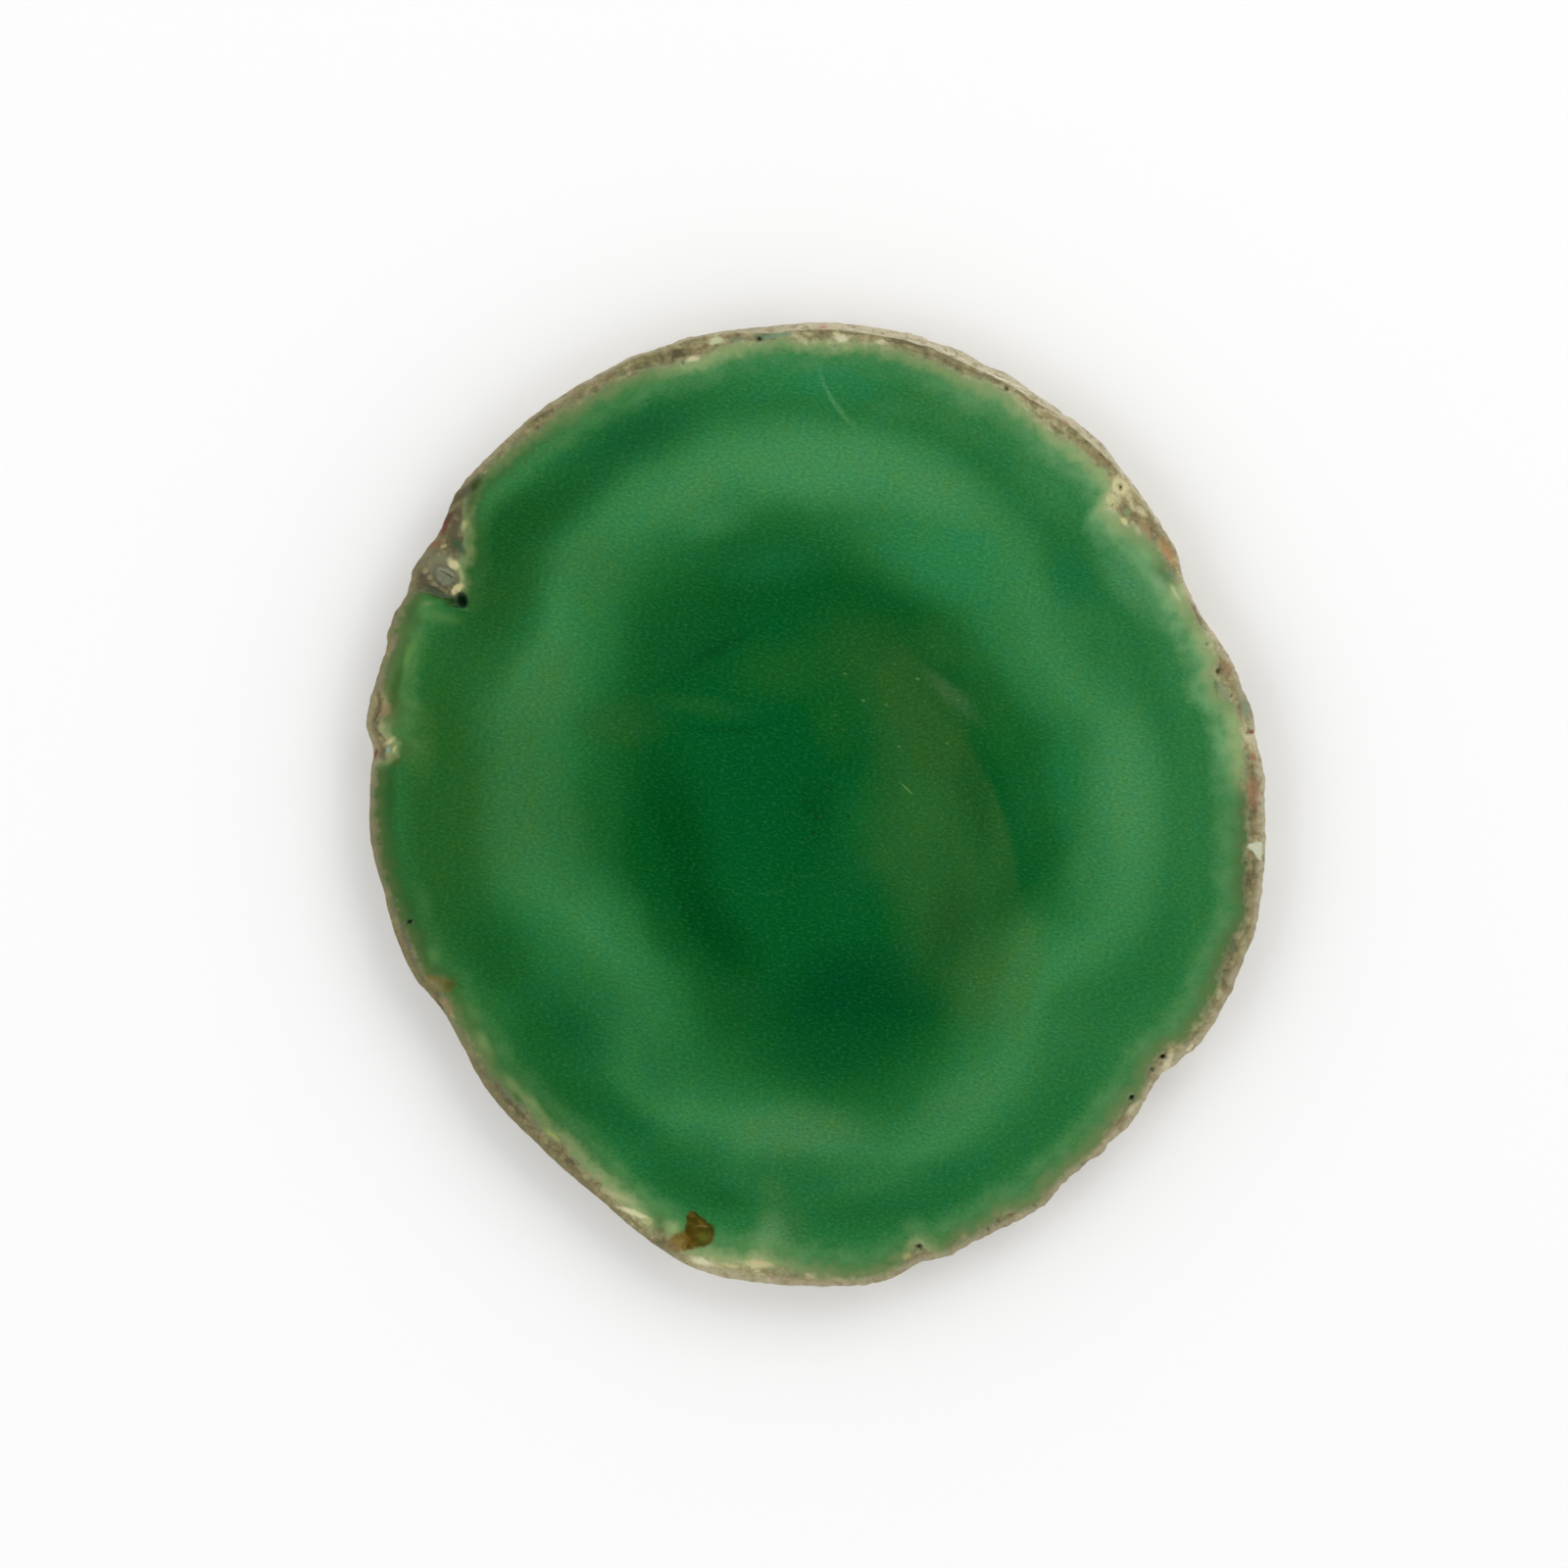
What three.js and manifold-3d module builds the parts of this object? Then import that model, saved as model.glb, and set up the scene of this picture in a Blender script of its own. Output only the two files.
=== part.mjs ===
// A slice sawn from one agate nodule: two flat polished faces, and between them a band of the nodule's
// rough natural skin. Millimetres, +Z up. The slice lies on its back face, with its origin at the middle
// of the outline's box on that face, and its front face looks along +Z.
import * as THREE from "three";
import { mergeVertices } from "three/addons/utils/BufferGeometryUtils.js";
import { ImprovedNoise } from "three/addons/math/ImprovedNoise.js";
import Module from "manifold-3d";

// Driving dimensions
const THICKNESS = 5;
const EDGE_BREAK = 0.15; // both sawn edges are rubbed down this much
const SEGMENTS = 288; // steps round the outline
const WALL_LEVELS = 7; // steps down the rough wall between the two broken edges
const ARC_SAMPLES = 8; // per segment, when the outline is divided into equal lengths

// The outline of all that shows from the front, as rows of [degrees from +X, radius]. The nodule's skin
// makes it lumpy, with broad dents at 25, 207 and 320 degrees and small steps where bits have chipped away.
const OUTLINE = [
  [0, 36.7], [5, 36.65], [9.5, 36.3], [12, 36.5], [15, 36.05], [20, 35.8], [25, 35.1], [31, 35.15],
  [35, 36.05], [40, 36.4], [45, 36.75], [50, 37.25], [55, 37.6], [60, 37.8], [65, 38.3], [70, 38.55],
  [75, 38.95], [80, 39.2], [87.5, 39.3], [92, 39.2], [96, 39.05], [99.5, 39.45], [105, 39.55],
  [115, 39.5], [125, 39.35], [137, 39], [140, 38.8], [142, 38.35], [144, 38], [148, 38.2], [151, 37.95],
  [153, 37.55], [156, 37.85], [161, 37.4], [166, 37.45], [171, 37.25], [172.4, 36.5], [176, 36.5],
  [184, 36.6], [188, 36.4], [193, 36.05], [198, 36.05], [204, 35.7], [207, 35.05], [215, 35.1],
  [219, 35.5], [225, 35.8], [232, 36], [237, 36.45], [242, 37], [246, 37.65], [250, 38.35],
  [255, 39.25], [262, 39.45], [276, 39.5], [280, 39.2], [282.5, 38.4], [286, 38.5], [290, 38.05],
  [296, 37.9], [300, 37.7], [303, 37], [307, 36.75], [310, 36.95], [311.7, 36.5], [313, 36.75],
  [318, 36.25], [320, 35.95], [323, 35.95], [326, 36.65], [331, 37.15], [340, 37.2], [345, 37.35],
  [350, 37.05], [355, 36.85],
];

// The saw passed the nodule a little off square. Along one stretch of the rim the wall spreads towards the
// back and shows outside the front edge, and along the rest it is slightly undercut.
const FLARE_DIRECTION = 74; // degrees, middle of the stretch that spreads
const FLARE_SPREAD = 1.35; // how far the back edge stands out from the front edge there
const SPREAD_POWER = 3; // power of the cosine: the higher, the shorter the stretch
const FLARE_SHOWN = 0.6; // how far inside the outline the front edge lies there
const SHOWN_POWER = 8;
const UNDERCUT = 0.35;

// The wall swells a little between the faces, and is lumpy like the skin of a nodule. The lumps reach up
// to the outline and the dents between them lie inside it.
const WALL_BELLY = 0.3;
const LUMPS = [
  { size: 3.4, height: 0.36 },
  { size: 1.5, height: 0.22 },
];
const LUMP_SETBACK = 0.5; // share of each lump's height that the wall's middle lies inside the outline

// Small hollows open to the front face, as [x, y, length, width, depth, degrees the length is turned].
// The first is a deep hole beside the second, a shallow nest of crystals. The rest are pits in the rind.
const HOLLOW_SIDES = 9;
const HOLLOW_RINGS = 6;
const HOLLOWS = [
  [-28.95, 16.65, 1.4, 1.05, 1.3, 100],
  [-30.35, 18.25, 1.9, 1.3, 0.4, 140],
  [-33.2, -9.6, 0.6, 0.5, 0.5, 20],
  [-4.65, 38, 0.6, 0.5, 0.4, 0],
  [8.4, -36.1, 0.7, 0.5, 0.5, 0],
  [25.8, -23.9, 0.6, 0.4, 0.5, 45],
  [28.3, -20.6, 0.7, 0.55, 0.7, 40],
  [24.85, 25.9, 0.6, 0.5, 0.5, 130],
  [32.8, 10.85, 0.6, 0.5, 0.5, 70],
  [35.3, 5.9, 0.5, 0.4, 0.4, 70],
];

const AGATE_GREEN = "#2b7a49";
const MERGE_DISTANCE = 1e-4; // vertices nearer than this are one

const degrees = THREE.MathUtils.degToRad;

// The outline as a closed curve with its points at even spacing.
function outlinePoints(count) {
  const corners = OUTLINE.map(([angle, radius]) =>
    new THREE.Vector3(radius * Math.cos(degrees(angle)), radius * Math.sin(degrees(angle)), 0),
  );
  const curve = new THREE.CatmullRomCurve3(corners, true, "centripetal");
  curve.arcLengthDivisions = ARC_SAMPLES * count;
  return curve.getSpacedPoints(count).slice(0, count);
}

// How far the wall at this height stands out from the outline, before any lumps.
function wallReach(angle, height) {
  const towardsBack = 1 - height / THICKNESS;
  const facing = Math.max(0, Math.cos(angle - degrees(FLARE_DIRECTION)));
  const backEdge = THREE.MathUtils.lerp(-UNDERCUT, FLARE_SPREAD, facing ** SPREAD_POWER);
  const frontEdge = -FLARE_SHOWN * facing ** SHOWN_POWER;
  return frontEdge + backEdge * towardsBack + WALL_BELLY * Math.sin(Math.PI * towardsBack);
}

const noise = new ImprovedNoise();

// The skin's lumps: none at the front edge, whose outline holds them already, and full from there down.
function lumpReach(point, height) {
  const fade = Math.min(1, (THICKNESS - height) / (THICKNESS / WALL_LEVELS));
  let reach = 0;
  for (const { size, height: rise } of LUMPS) {
    reach += rise * (noise.noise(point.x / size, point.y / size, height / size) - LUMP_SETBACK);
  }
  return reach * fade;
}

// The slice as a lathe form, whose round rings are then moved out to the real outline.
function makeBlank() {
  const outline = outlinePoints(SEGMENTS);
  const profile = [new THREE.Vector2(0, 0), new THREE.Vector2(1 - EDGE_BREAK, 0)];
  for (let level = 0; level <= WALL_LEVELS; level += 1) {
    const height = EDGE_BREAK + ((THICKNESS - 2 * EDGE_BREAK) * level) / WALL_LEVELS;
    profile.push(new THREE.Vector2(1, height));
  }
  profile.push(new THREE.Vector2(1 - EDGE_BREAK, THICKNESS), new THREE.Vector2(0, THICKNESS));

  const lathe = new THREE.LatheGeometry(profile, SEGMENTS);
  lathe.rotateX(Math.PI / 2);
  const position = lathe.attributes.position;
  const corner = new THREE.Vector3();
  for (let i = 0; i < position.count; i += 1) {
    corner.fromBufferAttribute(position, i);
    const unitRadius = Math.hypot(corner.x, corner.y);
    const isOnAxis = unitRadius < EDGE_BREAK;
    if (isOnAxis) {
      continue;
    }
    const turn = Math.atan2(corner.y, corner.x) / (2 * Math.PI);
    const step = (Math.round(turn * SEGMENTS) + SEGMENTS) % SEGMENTS;
    const front = outline[step];
    const angle = Math.atan2(front.y, front.x);
    const height = corner.z;
    const reach = wallReach(angle, height) + lumpReach(front, height) - (1 - unitRadius);
    const radius = front.length() + reach;
    position.setXYZ(i, radius * Math.cos(angle), radius * Math.sin(angle), height);
  }
  return lathe;
}

// A hollow's cutter: an egg shape whose middle lies on the front face.
function makeHollow([x, y, length, width, depth, turn]) {
  const egg = new THREE.SphereGeometry(0.5, HOLLOW_SIDES, HOLLOW_RINGS);
  egg.scale(length, width, 2 * depth);
  egg.rotateZ(degrees(turn));
  egg.translate(x, y, THICKNESS);
  return egg;
}

const wasm = await Module();
wasm.setup();

function toSolid(geometry) {
  const bare = geometry.clone();
  bare.deleteAttribute("normal");
  bare.deleteAttribute("uv");
  const merged = mergeVertices(bare, MERGE_DISTANCE);
  return new wasm.Manifold(
    new wasm.Mesh({
      numProp: 3,
      vertProperties: new Float32Array(merged.attributes.position.array),
      triVerts: new Uint32Array(merged.index.array),
    }),
  );
}

function toGeometry(solid) {
  const mesh = solid.getMesh();
  const geometry = new THREE.BufferGeometry();
  geometry.setAttribute("position", new THREE.BufferAttribute(mesh.vertProperties, 3));
  geometry.setIndex(new THREE.BufferAttribute(mesh.triVerts, 1));
  geometry.computeVertexNormals();
  return geometry;
}

function makeSlice() {
  let solid = toSolid(makeBlank());
  for (const hollow of HOLLOWS) {
    solid = solid.subtract(toSolid(makeHollow(hollow)));
  }
  const geometry = toGeometry(solid);
  geometry.computeBoundingBox();
  const middle = geometry.boundingBox.getCenter(new THREE.Vector3());
  geometry.translate(-middle.x, -middle.y, 0);
  return geometry;
}

const agate = new THREE.MeshStandardMaterial({ color: AGATE_GREEN, roughness: 0.3, metalness: 0 });
const slice = new THREE.Mesh(makeSlice(), agate);
slice.name = "agate_slice";

const part = new THREE.Group();
part.add(slice);

export default part;
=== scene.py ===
# %% [markdown]
# # A green agate slice
#
# The object is one thin slice sawn from an agate nodule. Both faces are polished flat, the bands of the
# stone show on them as soft rings, and the nodule's rough natural skin runs round the edge. This lesson
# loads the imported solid, builds a finer copy of the stone around it, and then paints the stone with nodes.

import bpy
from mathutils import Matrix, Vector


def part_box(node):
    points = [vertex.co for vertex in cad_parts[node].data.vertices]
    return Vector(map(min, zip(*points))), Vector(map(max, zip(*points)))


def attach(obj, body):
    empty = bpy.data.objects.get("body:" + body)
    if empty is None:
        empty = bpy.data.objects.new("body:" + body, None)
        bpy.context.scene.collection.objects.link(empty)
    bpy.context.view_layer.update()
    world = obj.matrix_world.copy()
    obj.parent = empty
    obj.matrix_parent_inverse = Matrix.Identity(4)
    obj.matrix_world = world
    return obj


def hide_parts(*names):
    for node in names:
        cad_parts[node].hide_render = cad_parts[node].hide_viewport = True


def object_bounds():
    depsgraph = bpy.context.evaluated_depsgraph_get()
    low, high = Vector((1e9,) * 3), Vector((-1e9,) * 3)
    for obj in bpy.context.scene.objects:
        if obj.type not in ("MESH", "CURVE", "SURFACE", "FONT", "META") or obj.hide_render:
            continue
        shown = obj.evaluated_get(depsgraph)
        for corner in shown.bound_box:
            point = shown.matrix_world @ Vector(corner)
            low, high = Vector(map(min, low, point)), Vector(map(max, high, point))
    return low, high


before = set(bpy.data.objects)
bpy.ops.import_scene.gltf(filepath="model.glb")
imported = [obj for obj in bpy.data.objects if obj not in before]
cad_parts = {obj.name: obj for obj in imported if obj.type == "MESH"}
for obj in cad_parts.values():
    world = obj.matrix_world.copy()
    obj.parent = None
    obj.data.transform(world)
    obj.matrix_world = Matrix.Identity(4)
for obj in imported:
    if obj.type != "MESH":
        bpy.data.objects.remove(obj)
cad_low, cad_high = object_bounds()
print("CAD box:", [round(side * 1000, 2) for side in cad_high - cad_low], "mm")

# %% Import the modelling tools
import math

import bmesh
import bpy
import numpy as np
from mathutils import Vector, noise
from mathutils.bvhtree import BVHTree

# %% [markdown]
# ## Two coordinate systems
#
# Blender works in metres from the middle of the slice. A stone grows outwards from one point, though, and
# everything on this one is easiest to say as an angle and a distance from that point. So the lesson
# measures in millimetres from the growth centre, and one function turns such a place into metres.

# %% Units and the growth centre
MM = 0.001
CENTRE_X, CENTRE_Y = 0.049, -0.220  # the growth centre from the frame's origin, mm

low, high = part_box("agate_slice")
THICKNESS = (high.z - low.z) / MM


def to_metres(x, y, z):
    """A place measured in mm from the growth centre, in the frame's metres."""
    return Vector(((x + CENTRE_X) * MM, (y + CENTRE_Y) * MM, z * MM))


print("thickness:", round(THICKNESS, 2), "mm")

# %% [markdown]
# ## Curves through a few knots
#
# The bands and the skin's inner edge are closed curves. Each is a short list of knots, an angle and a
# radius, and a smooth line runs through them. A plain spline would overshoot between knots, and two bands
# could then cross. At each knot this line takes an average of the slopes on its two sides that favours the
# gentler one, and lies level where they differ in sign, so it never overshoots.


# %% A line that never overshoots its knots
def smooth_line(knots, at):
    """The value at each place of a smooth line through [place, value] knots."""
    place, value = np.array(knots, float).T
    step = np.diff(place)
    slope = np.diff(value) / step
    before, after = slope[:-1], slope[1:]
    keeps_on = before * after > 0
    lean = np.zeros(len(value))
    lean[1:-1][keeps_on] = 2 * (before * after)[keeps_on] / (before + after)[keeps_on]

    left = np.clip(np.searchsorted(place, at, side="right") - 1, 0, len(step) - 1)
    way = (at - place[left]) / step[left]
    ease = 3 * way**2 - 2 * way**3
    leaving = (way**3 - 2 * way**2 + way) * step[left] * lean[left]
    arriving = (way**3 - way**2) * step[left] * lean[left + 1]
    return value[left] * (1 - ease) + value[left + 1] * ease + leaving + arriving


def round_line(knots, degrees):
    """The same line, closed into a ring: its knots repeat every 360 degrees."""
    lap = [[angle + turn, value] for turn in (-360, 0, 360) for angle, value in sorted(knots)]
    return smooth_line(lap, np.mod(degrees, 360))


print("halfway up a step:", smooth_line([[0, 0], [1, 0], [2, 1], [3, 1]], np.array([1.5])))

# %% [markdown]
# ## The bands
#
# Agate fills a hollow in rock from the outside in, layer on layer, so every band repeats the shape of the
# one outside it a little more softly. Five band lines hold the shapes of the rings here. "Growth" is a
# number that is 0 at the centre and 1 where the stone meets its skin, and each line is a place of equal
# growth.

# %% The band lines, as growth and [degrees, radius in mm]
BANDS = [
    (0.30, [  # the darkest part of the inner ring
        [0, 16.5], [20, 16], [35, 14.5], [60, 16], [80, 17], [95, 18.5], [110, 18], [130, 16.5],
        [150, 15.5], [165, 14], [180, 12.5], [200, 12.6], [215, 12.6], [230, 13.3], [245, 15.4], [262, 17.5],
        [285, 18.5], [300, 18.5], [315, 17], [330, 16.5], [345, 17],
    ]),
    (0.45, [  # the inside of the milky ring
        [0, 20.6], [12, 20.6], [22, 19.3], [32, 18], [42, 18.3], [52, 19.6], [62, 20.4], [75, 21],
        [84, 22.4], [95, 24.2], [107, 24.6], [118, 24], [130, 24.5], [141, 21.6], [152, 20.4], [165, 20],
        [178, 20], [192, 18.6], [206, 17.7], [218, 17.6], [229, 18.5], [240, 21.2], [250, 24], [262, 24],
        [272, 25.8], [281, 26.6], [292, 25], [303, 22.5], [315, 20.5], [326, 19.4], [336, 21.6], [348, 22],
    ]),
    (0.55, [  # the crest of the milky ring
        [0, 25.2], [13, 24.6], [25, 22.5], [35, 22], [43, 23.2], [55, 24.9], [71, 26.1], [82, 28.1],
        [93, 28.6], [108, 28.2], [124, 27.4], [136, 27.3], [147, 25.2], [160, 25.2], [174, 24.6],
        [190, 23], [207, 21], [218, 20.6], [227, 21.6], [241, 25], [253, 27], [262, 26.5], [274, 28.6],
        [283, 29.4], [297, 27.8], [312, 25.2], [326, 23.2], [339, 25.4],
    ]),
    (0.65, [  # the outside of the milky ring
        [0, 28], [12, 27.4], [22, 25.7], [34, 25], [44, 26.2], [52, 28.2], [62, 29.2], [75, 30], [85, 31],
        [95, 31.5], [108, 31.2], [122, 30.8], [132, 30.4], [141, 29], [149, 26.6], [158, 28], [172, 28.6],
        [182, 27.6], [195, 25.7], [206, 23], [217, 22.5], [226, 24], [235, 27.6], [246, 30], [255, 30.4],
        [264, 28.6], [270, 29.2], [276, 31.6], [285, 31.4], [297, 30], [309, 28], [321, 24.8], [331, 26.9],
        [341, 28.6], [351, 28.3],
    ]),
    (0.78, [  # the darkest part of the outer green ring
        [0, 30.5], [15, 29], [30, 28], [42, 28.5], [55, 31], [66, 32], [80, 33], [95, 34], [110, 34],
        [125, 33.5], [140, 31], [151, 29.6], [165, 31], [180, 31], [195, 29], [207, 26.5], [218, 26],
        [227, 27.5], [240, 31.5], [256, 33], [268, 32], [280, 34.5], [295, 33], [310, 31], [322, 28],
        [335, 30.5], [348, 31],
    ]),
]

# The inner edge of the skin, where growth is 1.
SKIN_INSIDE = [
    [0, 34.85], [4, 34.85], [7, 35], [13, 34.9], [15, 34.2], [18, 34], [20, 34.6], [24, 34.5], [28, 34.3],
    [35, 34.6], [38, 34.7], [41, 34.2], [43, 33.8], [46, 34.1], [48, 35.6], [52, 35.9], [57, 35.9],
    [62, 36.4], [66, 37], [70, 36.8], [75, 37.2], [80, 37.6], [85, 37.7], [90, 37.5], [95, 38], [100, 38],
    [105, 37.4], [108, 37.6], [112, 38], [125, 38], [135, 38.3], [138, 38], [141, 36.8], [144, 35.4],
    [146, 35.1], [148, 34.2], [150.5, 34], [152, 36.9], [155, 37.2], [160, 36.8], [164, 36.6],
    [167.5, 35.5], [170, 36], [172, 34.9], [173.5, 35], [175, 35.8], [179, 36], [185, 35.8], [191, 35.5],
    [196, 35.1], [203, 34.8], [204.5, 34.5], [206, 34.1], [207.5, 34.2], [210, 34.3], [217, 34.2],
    [220, 34.5], [225, 34.3], [230, 34.5], [233, 34.4], [237, 35], [241, 35.5], [245, 36.3], [248, 36.9],
    [249, 37], [250.5, 37.1], [254, 38.1], [260, 38.1], [263, 37.6], [265.5, 38], [270, 38.4],
    [276, 38.7], [280, 38.1], [283, 37], [286, 37.9], [288, 37.3], [292, 37.2], [294, 36.7], [298, 37],
    [302, 36.3], [307, 36.1], [311, 35.7], [314, 35.2], [318, 35.2], [322, 34.6], [325, 34.8],
    [328, 35.6], [334, 35.8], [338, 35.6], [341, 35.6], [345, 36], [350, 35.3], [356, 35],
]
BEYOND_SKIN = (4, 1.25)  # this many mm past the skin's inner edge, growth has reached this

# %% [markdown]
# ## Rays
#
# The mesh is a fan of rays from the growth centre, crossed by rings. Each ray needs the radius of every
# band line, and of the stone's own edge at each height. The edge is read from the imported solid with
# horizontal ray casts, so the fine stone follows the solid wherever it goes.

# %% Directions of the rays
RAYS = 960
ray_degrees = np.arange(RAYS) * 360 / RAYS
ray_x = np.cos(np.radians(ray_degrees))
ray_y = np.sin(np.radians(ray_degrees))
skin_inside = round_line(SKIN_INSIDE, ray_degrees)
band_growths = [0] + [growth for growth, _ in BANDS] + [1, BEYOND_SKIN[1]]
band_radii = [round_line(knots, ray_degrees) for _, knots in BANDS]
print("skin starts between", skin_inside.min().round(1), "and", skin_inside.max().round(1), "mm")


# %% Growth at any radius of a ray
def growth_along(ray, radii):
    """The growth at these radii of one ray, from the band lines that cross it."""
    crossings = [0, *(band[ray] for band in band_radii), skin_inside[ray]]
    crossings.append(skin_inside[ray] + BEYOND_SKIN[0])
    knots = list(zip(crossings, band_growths))
    return smooth_line(knots, np.minimum(radii, crossings[-1]))


print("growth at 10, 20 and 30 mm to the right:", growth_along(0, np.array([10.0, 20, 30])).round(2))

# %% Read the solid's edge
OUTSIDE = 60  # mm, a radius that is clear of the stone
EDGE_BREAK = 0.15  # both sawn edges are rubbed down this much, mm
SMOOTHING = 3  # rays to each side that a reading is averaged over, which hides the solid's facets
SAME_POINT = 0.001  # mm; corners of the solid that are nearer than this are one

solid = bmesh.new()
solid.from_mesh(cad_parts["agate_slice"].data)
bmesh.ops.remove_doubles(solid, verts=solid.verts, dist=SAME_POINT * MM)
solid_tree = BVHTree.FromBMesh(solid)
solid.free()


def edge_radius(height):
    """How far the solid reaches along each ray at this height, in mm."""
    radii = np.zeros(RAYS)
    for ray in range(RAYS):
        start = to_metres(OUTSIDE * ray_x[ray], OUTSIDE * ray_y[ray], height)
        inwards = Vector((-ray_x[ray], -ray_y[ray], 0))
        distance = solid_tree.ray_cast(start, inwards)[3]
        radii[ray] = OUTSIDE - distance / MM
    steps = range(-SMOOTHING, SMOOTHING + 1)
    return sum(np.roll(radii, step) for step in steps) / len(steps)


WALL_RINGS = 20
wall_heights = np.linspace(THICKNESS - EDGE_BREAK, EDGE_BREAK, WALL_RINGS)
SLIVER = 0.01  # a ray cast this far inside the first and last heights can't slip past an edge, mm
wall_radii = [edge_radius(np.clip(z, EDGE_BREAK + SLIVER, THICKNESS - EDGE_BREAK - SLIVER))
              for z in wall_heights]
front_edge, back_edge = wall_radii[0], wall_radii[-1]
outline = np.max(wall_radii, axis=0)
print("outline radius:", outline.min().round(2), "to", outline.max().round(2), "mm")

# %% [markdown]
# ## Roughness of the skin
#
# The skin is the cast of a bubble in old lava: lumpy at a millimetre, crumbly at a fraction of that. The
# wall between the faces is dimpled too, most of all halfway down. The saw and the polish leave the skin's
# sawn rim a little lower than the stone, because it is softer. Noise from mathutils gives the same bumps
# every run. It is sampled in 3-D, so the bumps run on over the edge.

# %% Noise for the bumps
CRUMBS = [(1.3, 0.12), (0.6, 0.10)]  # size and height of the skin's bumps, mm
DIMPLES = [(1.9, 0.55), (0.8, 0.3)]  # the same for the dimples in the wall between the two faces


def bumps(x, y, z, layers):
    """The sum of several layers of soft noise at a place, each from minus to plus its height."""
    return sum(height * noise.noise(Vector((x, y, z)) / size) for size, height in layers)


# How crumbly the outline is by direction: 1 is usual.
CRUMBLE = [
    [0, 0.8], [20, 0.9], [35, 1], [50, 0.5], [90, 0.5], [130, 0.7], [150, 1], [180, 0.4], [205, 0.5],
    [230, 0.35], [250, 0.35], [275, 0.8], [300, 1.3], [320, 1.2], [345, 0.9],
]
crumble = round_line(CRUMBLE, ray_degrees)
print("sample bump:", round(bumps(36, 0, 5, CRUMBS), 3), "mm")

# %% [markdown]
# ## The rings
#
# Rings run from the centre of the front face out to its edge, over the rubbed edge, down the rough wall,
# and back in to the centre of the back face. They stand close together near the edge, where the detail
# is. For every ring the lesson keeps its radius and height along each ray, and the numbers that the
# material will need later: growth, and how far a place lies outside the skin's inner edge.

# %% Radii and heights of the rings
INNER_RINGS, RIM_RINGS, BACK_RINGS = 25, 18, 20
RIM_START = 0.9  # share of the way out to the skin where the close rings begin
HUB = 0.6  # radius of the first ring, mm

rings = []  # rows of (radii, heights, which side)
for share in np.linspace(HUB / skin_inside.max(), RIM_START, INNER_RINGS):
    rings.append((share * skin_inside, THICKNESS, "front"))
for way in np.linspace(0, 1, RIM_RINGS + 1)[1:]:
    start, end = RIM_START * skin_inside, front_edge - EDGE_BREAK
    rings.append((start + (end - start) * way, THICKNESS, "front"))
ROUNDING = EDGE_BREAK * (1 - math.sqrt(0.5))
rings.append((front_edge - ROUNDING, THICKNESS - ROUNDING, "wall"))
for height, radii in zip(wall_heights, wall_radii):
    rings.append((radii, height, "wall"))
rings.append((back_edge - ROUNDING, ROUNDING, "wall"))
for way in np.linspace(1, HUB / back_edge.max(), BACK_RINGS):
    rings.append(((back_edge - EDGE_BREAK) * way, 0, "back"))
print(len(rings), "rings of", RAYS, "points")

# %% Place every point and note its growth and skin depth
BACK_SHIFT = 4  # the back's skin takes its width from the outline this many rays further on
SUNK, SUNK_DEEPER = 0.02, 0.06  # how far the skin's sawn rim lies below the stone, and its dents, mm
RIM_DENTS = [(0.9, 1), (0.4, 0.6)]
SOFT_STEP = 0.9  # mm over which the rim drops away from the stone
CRUMBLY_EDGE = 0.8  # mm in from the outline over which the crumbs shift the points of the two faces
# The wall's dimples get painted shade: the deeper a dimple, the darker, up to DARKEST_DIMPLE.
DIMPLE_SHADE = 1.3  # how fast the painted shade in a dimple deepens with its depth, per mm
DARKEST_DIMPLE = 0.5

points = np.zeros((len(rings), RAYS, 3))
growth = np.zeros((len(rings), RAYS))
skin = np.zeros((len(rings), RAYS))
inset = np.zeros((len(rings), RAYS))
hollow = np.zeros((len(rings), RAYS))
for number, (radii, height, side) in enumerate(rings):
    radii, heights = np.array(radii), np.full(RAYS, float(height))
    even_radii = radii * front_edge / back_edge if side == "back" else radii
    reaching = np.roll(even_radii, -BACK_SHIFT) if side == "back" else even_radii
    skin[number] = reaching - skin_inside if side != "wall" else np.maximum(radii - skin_inside, 1)
    inset[number] = outline - radii if side != "wall" else 0
    for ray in range(RAYS):
        x, y = radii[ray] * ray_x[ray], radii[ray] * ray_y[ray]
        if skin[number, ray] <= 0:
            continue
        rough = bumps(x, y, heights[ray], CRUMBS) * crumble[ray]
        dent = 0.5 + bumps(x, y, 0, RIM_DENTS) / 2
        drop = (SUNK + SUNK_DEEPER * dent) * min(1, skin[number, ray] / SOFT_STEP)
        near_edge = np.clip(1 - (outline[ray] - radii[ray]) / CRUMBLY_EDGE, 0, 1)
        radii[ray] += rough * (near_edge if side != "wall" else 1)
        if side == "wall":
            away_from_faces = math.sin(math.pi * heights[ray] / THICKNESS)
            dimple = away_from_faces * max(0, bumps(x, y, heights[ray], DIMPLES))
            radii[ray] -= dimple
            # painted shade in the dimple, by its depth
            hollow[number, ray] = min(DARKEST_DIMPLE, DIMPLE_SHADE * dimple)
        if side == "front":
            heights[ray] -= drop
        elif side == "back":
            heights[ray] += drop
    points[number] = np.stack([radii * ray_x, radii * ray_y, heights], axis=1)
for ray in range(RAYS):
    radii = np.array([row[0][ray] for row in rings])
    evened = [r * front_edge[ray] / back_edge[ray] if row[2] == "back" else r for r, row in zip(radii, rings)]
    growth[:, ray] = growth_along(ray, np.array(evened))
print("skin is", (outline - skin_inside).mean().round(2), "mm wide on average")

# %% [markdown]
# ## Building the mesh
#
# A fan-filled circle is the hub of the front face. Extruding its rim again and again adds one ring of
# faces at a time, and the last ring is merged into a point at the middle of the back. Each new vertex
# inherits the number of its ray from the one it was extruded from, and is given the number of its ring,
# so that it can be moved to its place at the end.

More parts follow.
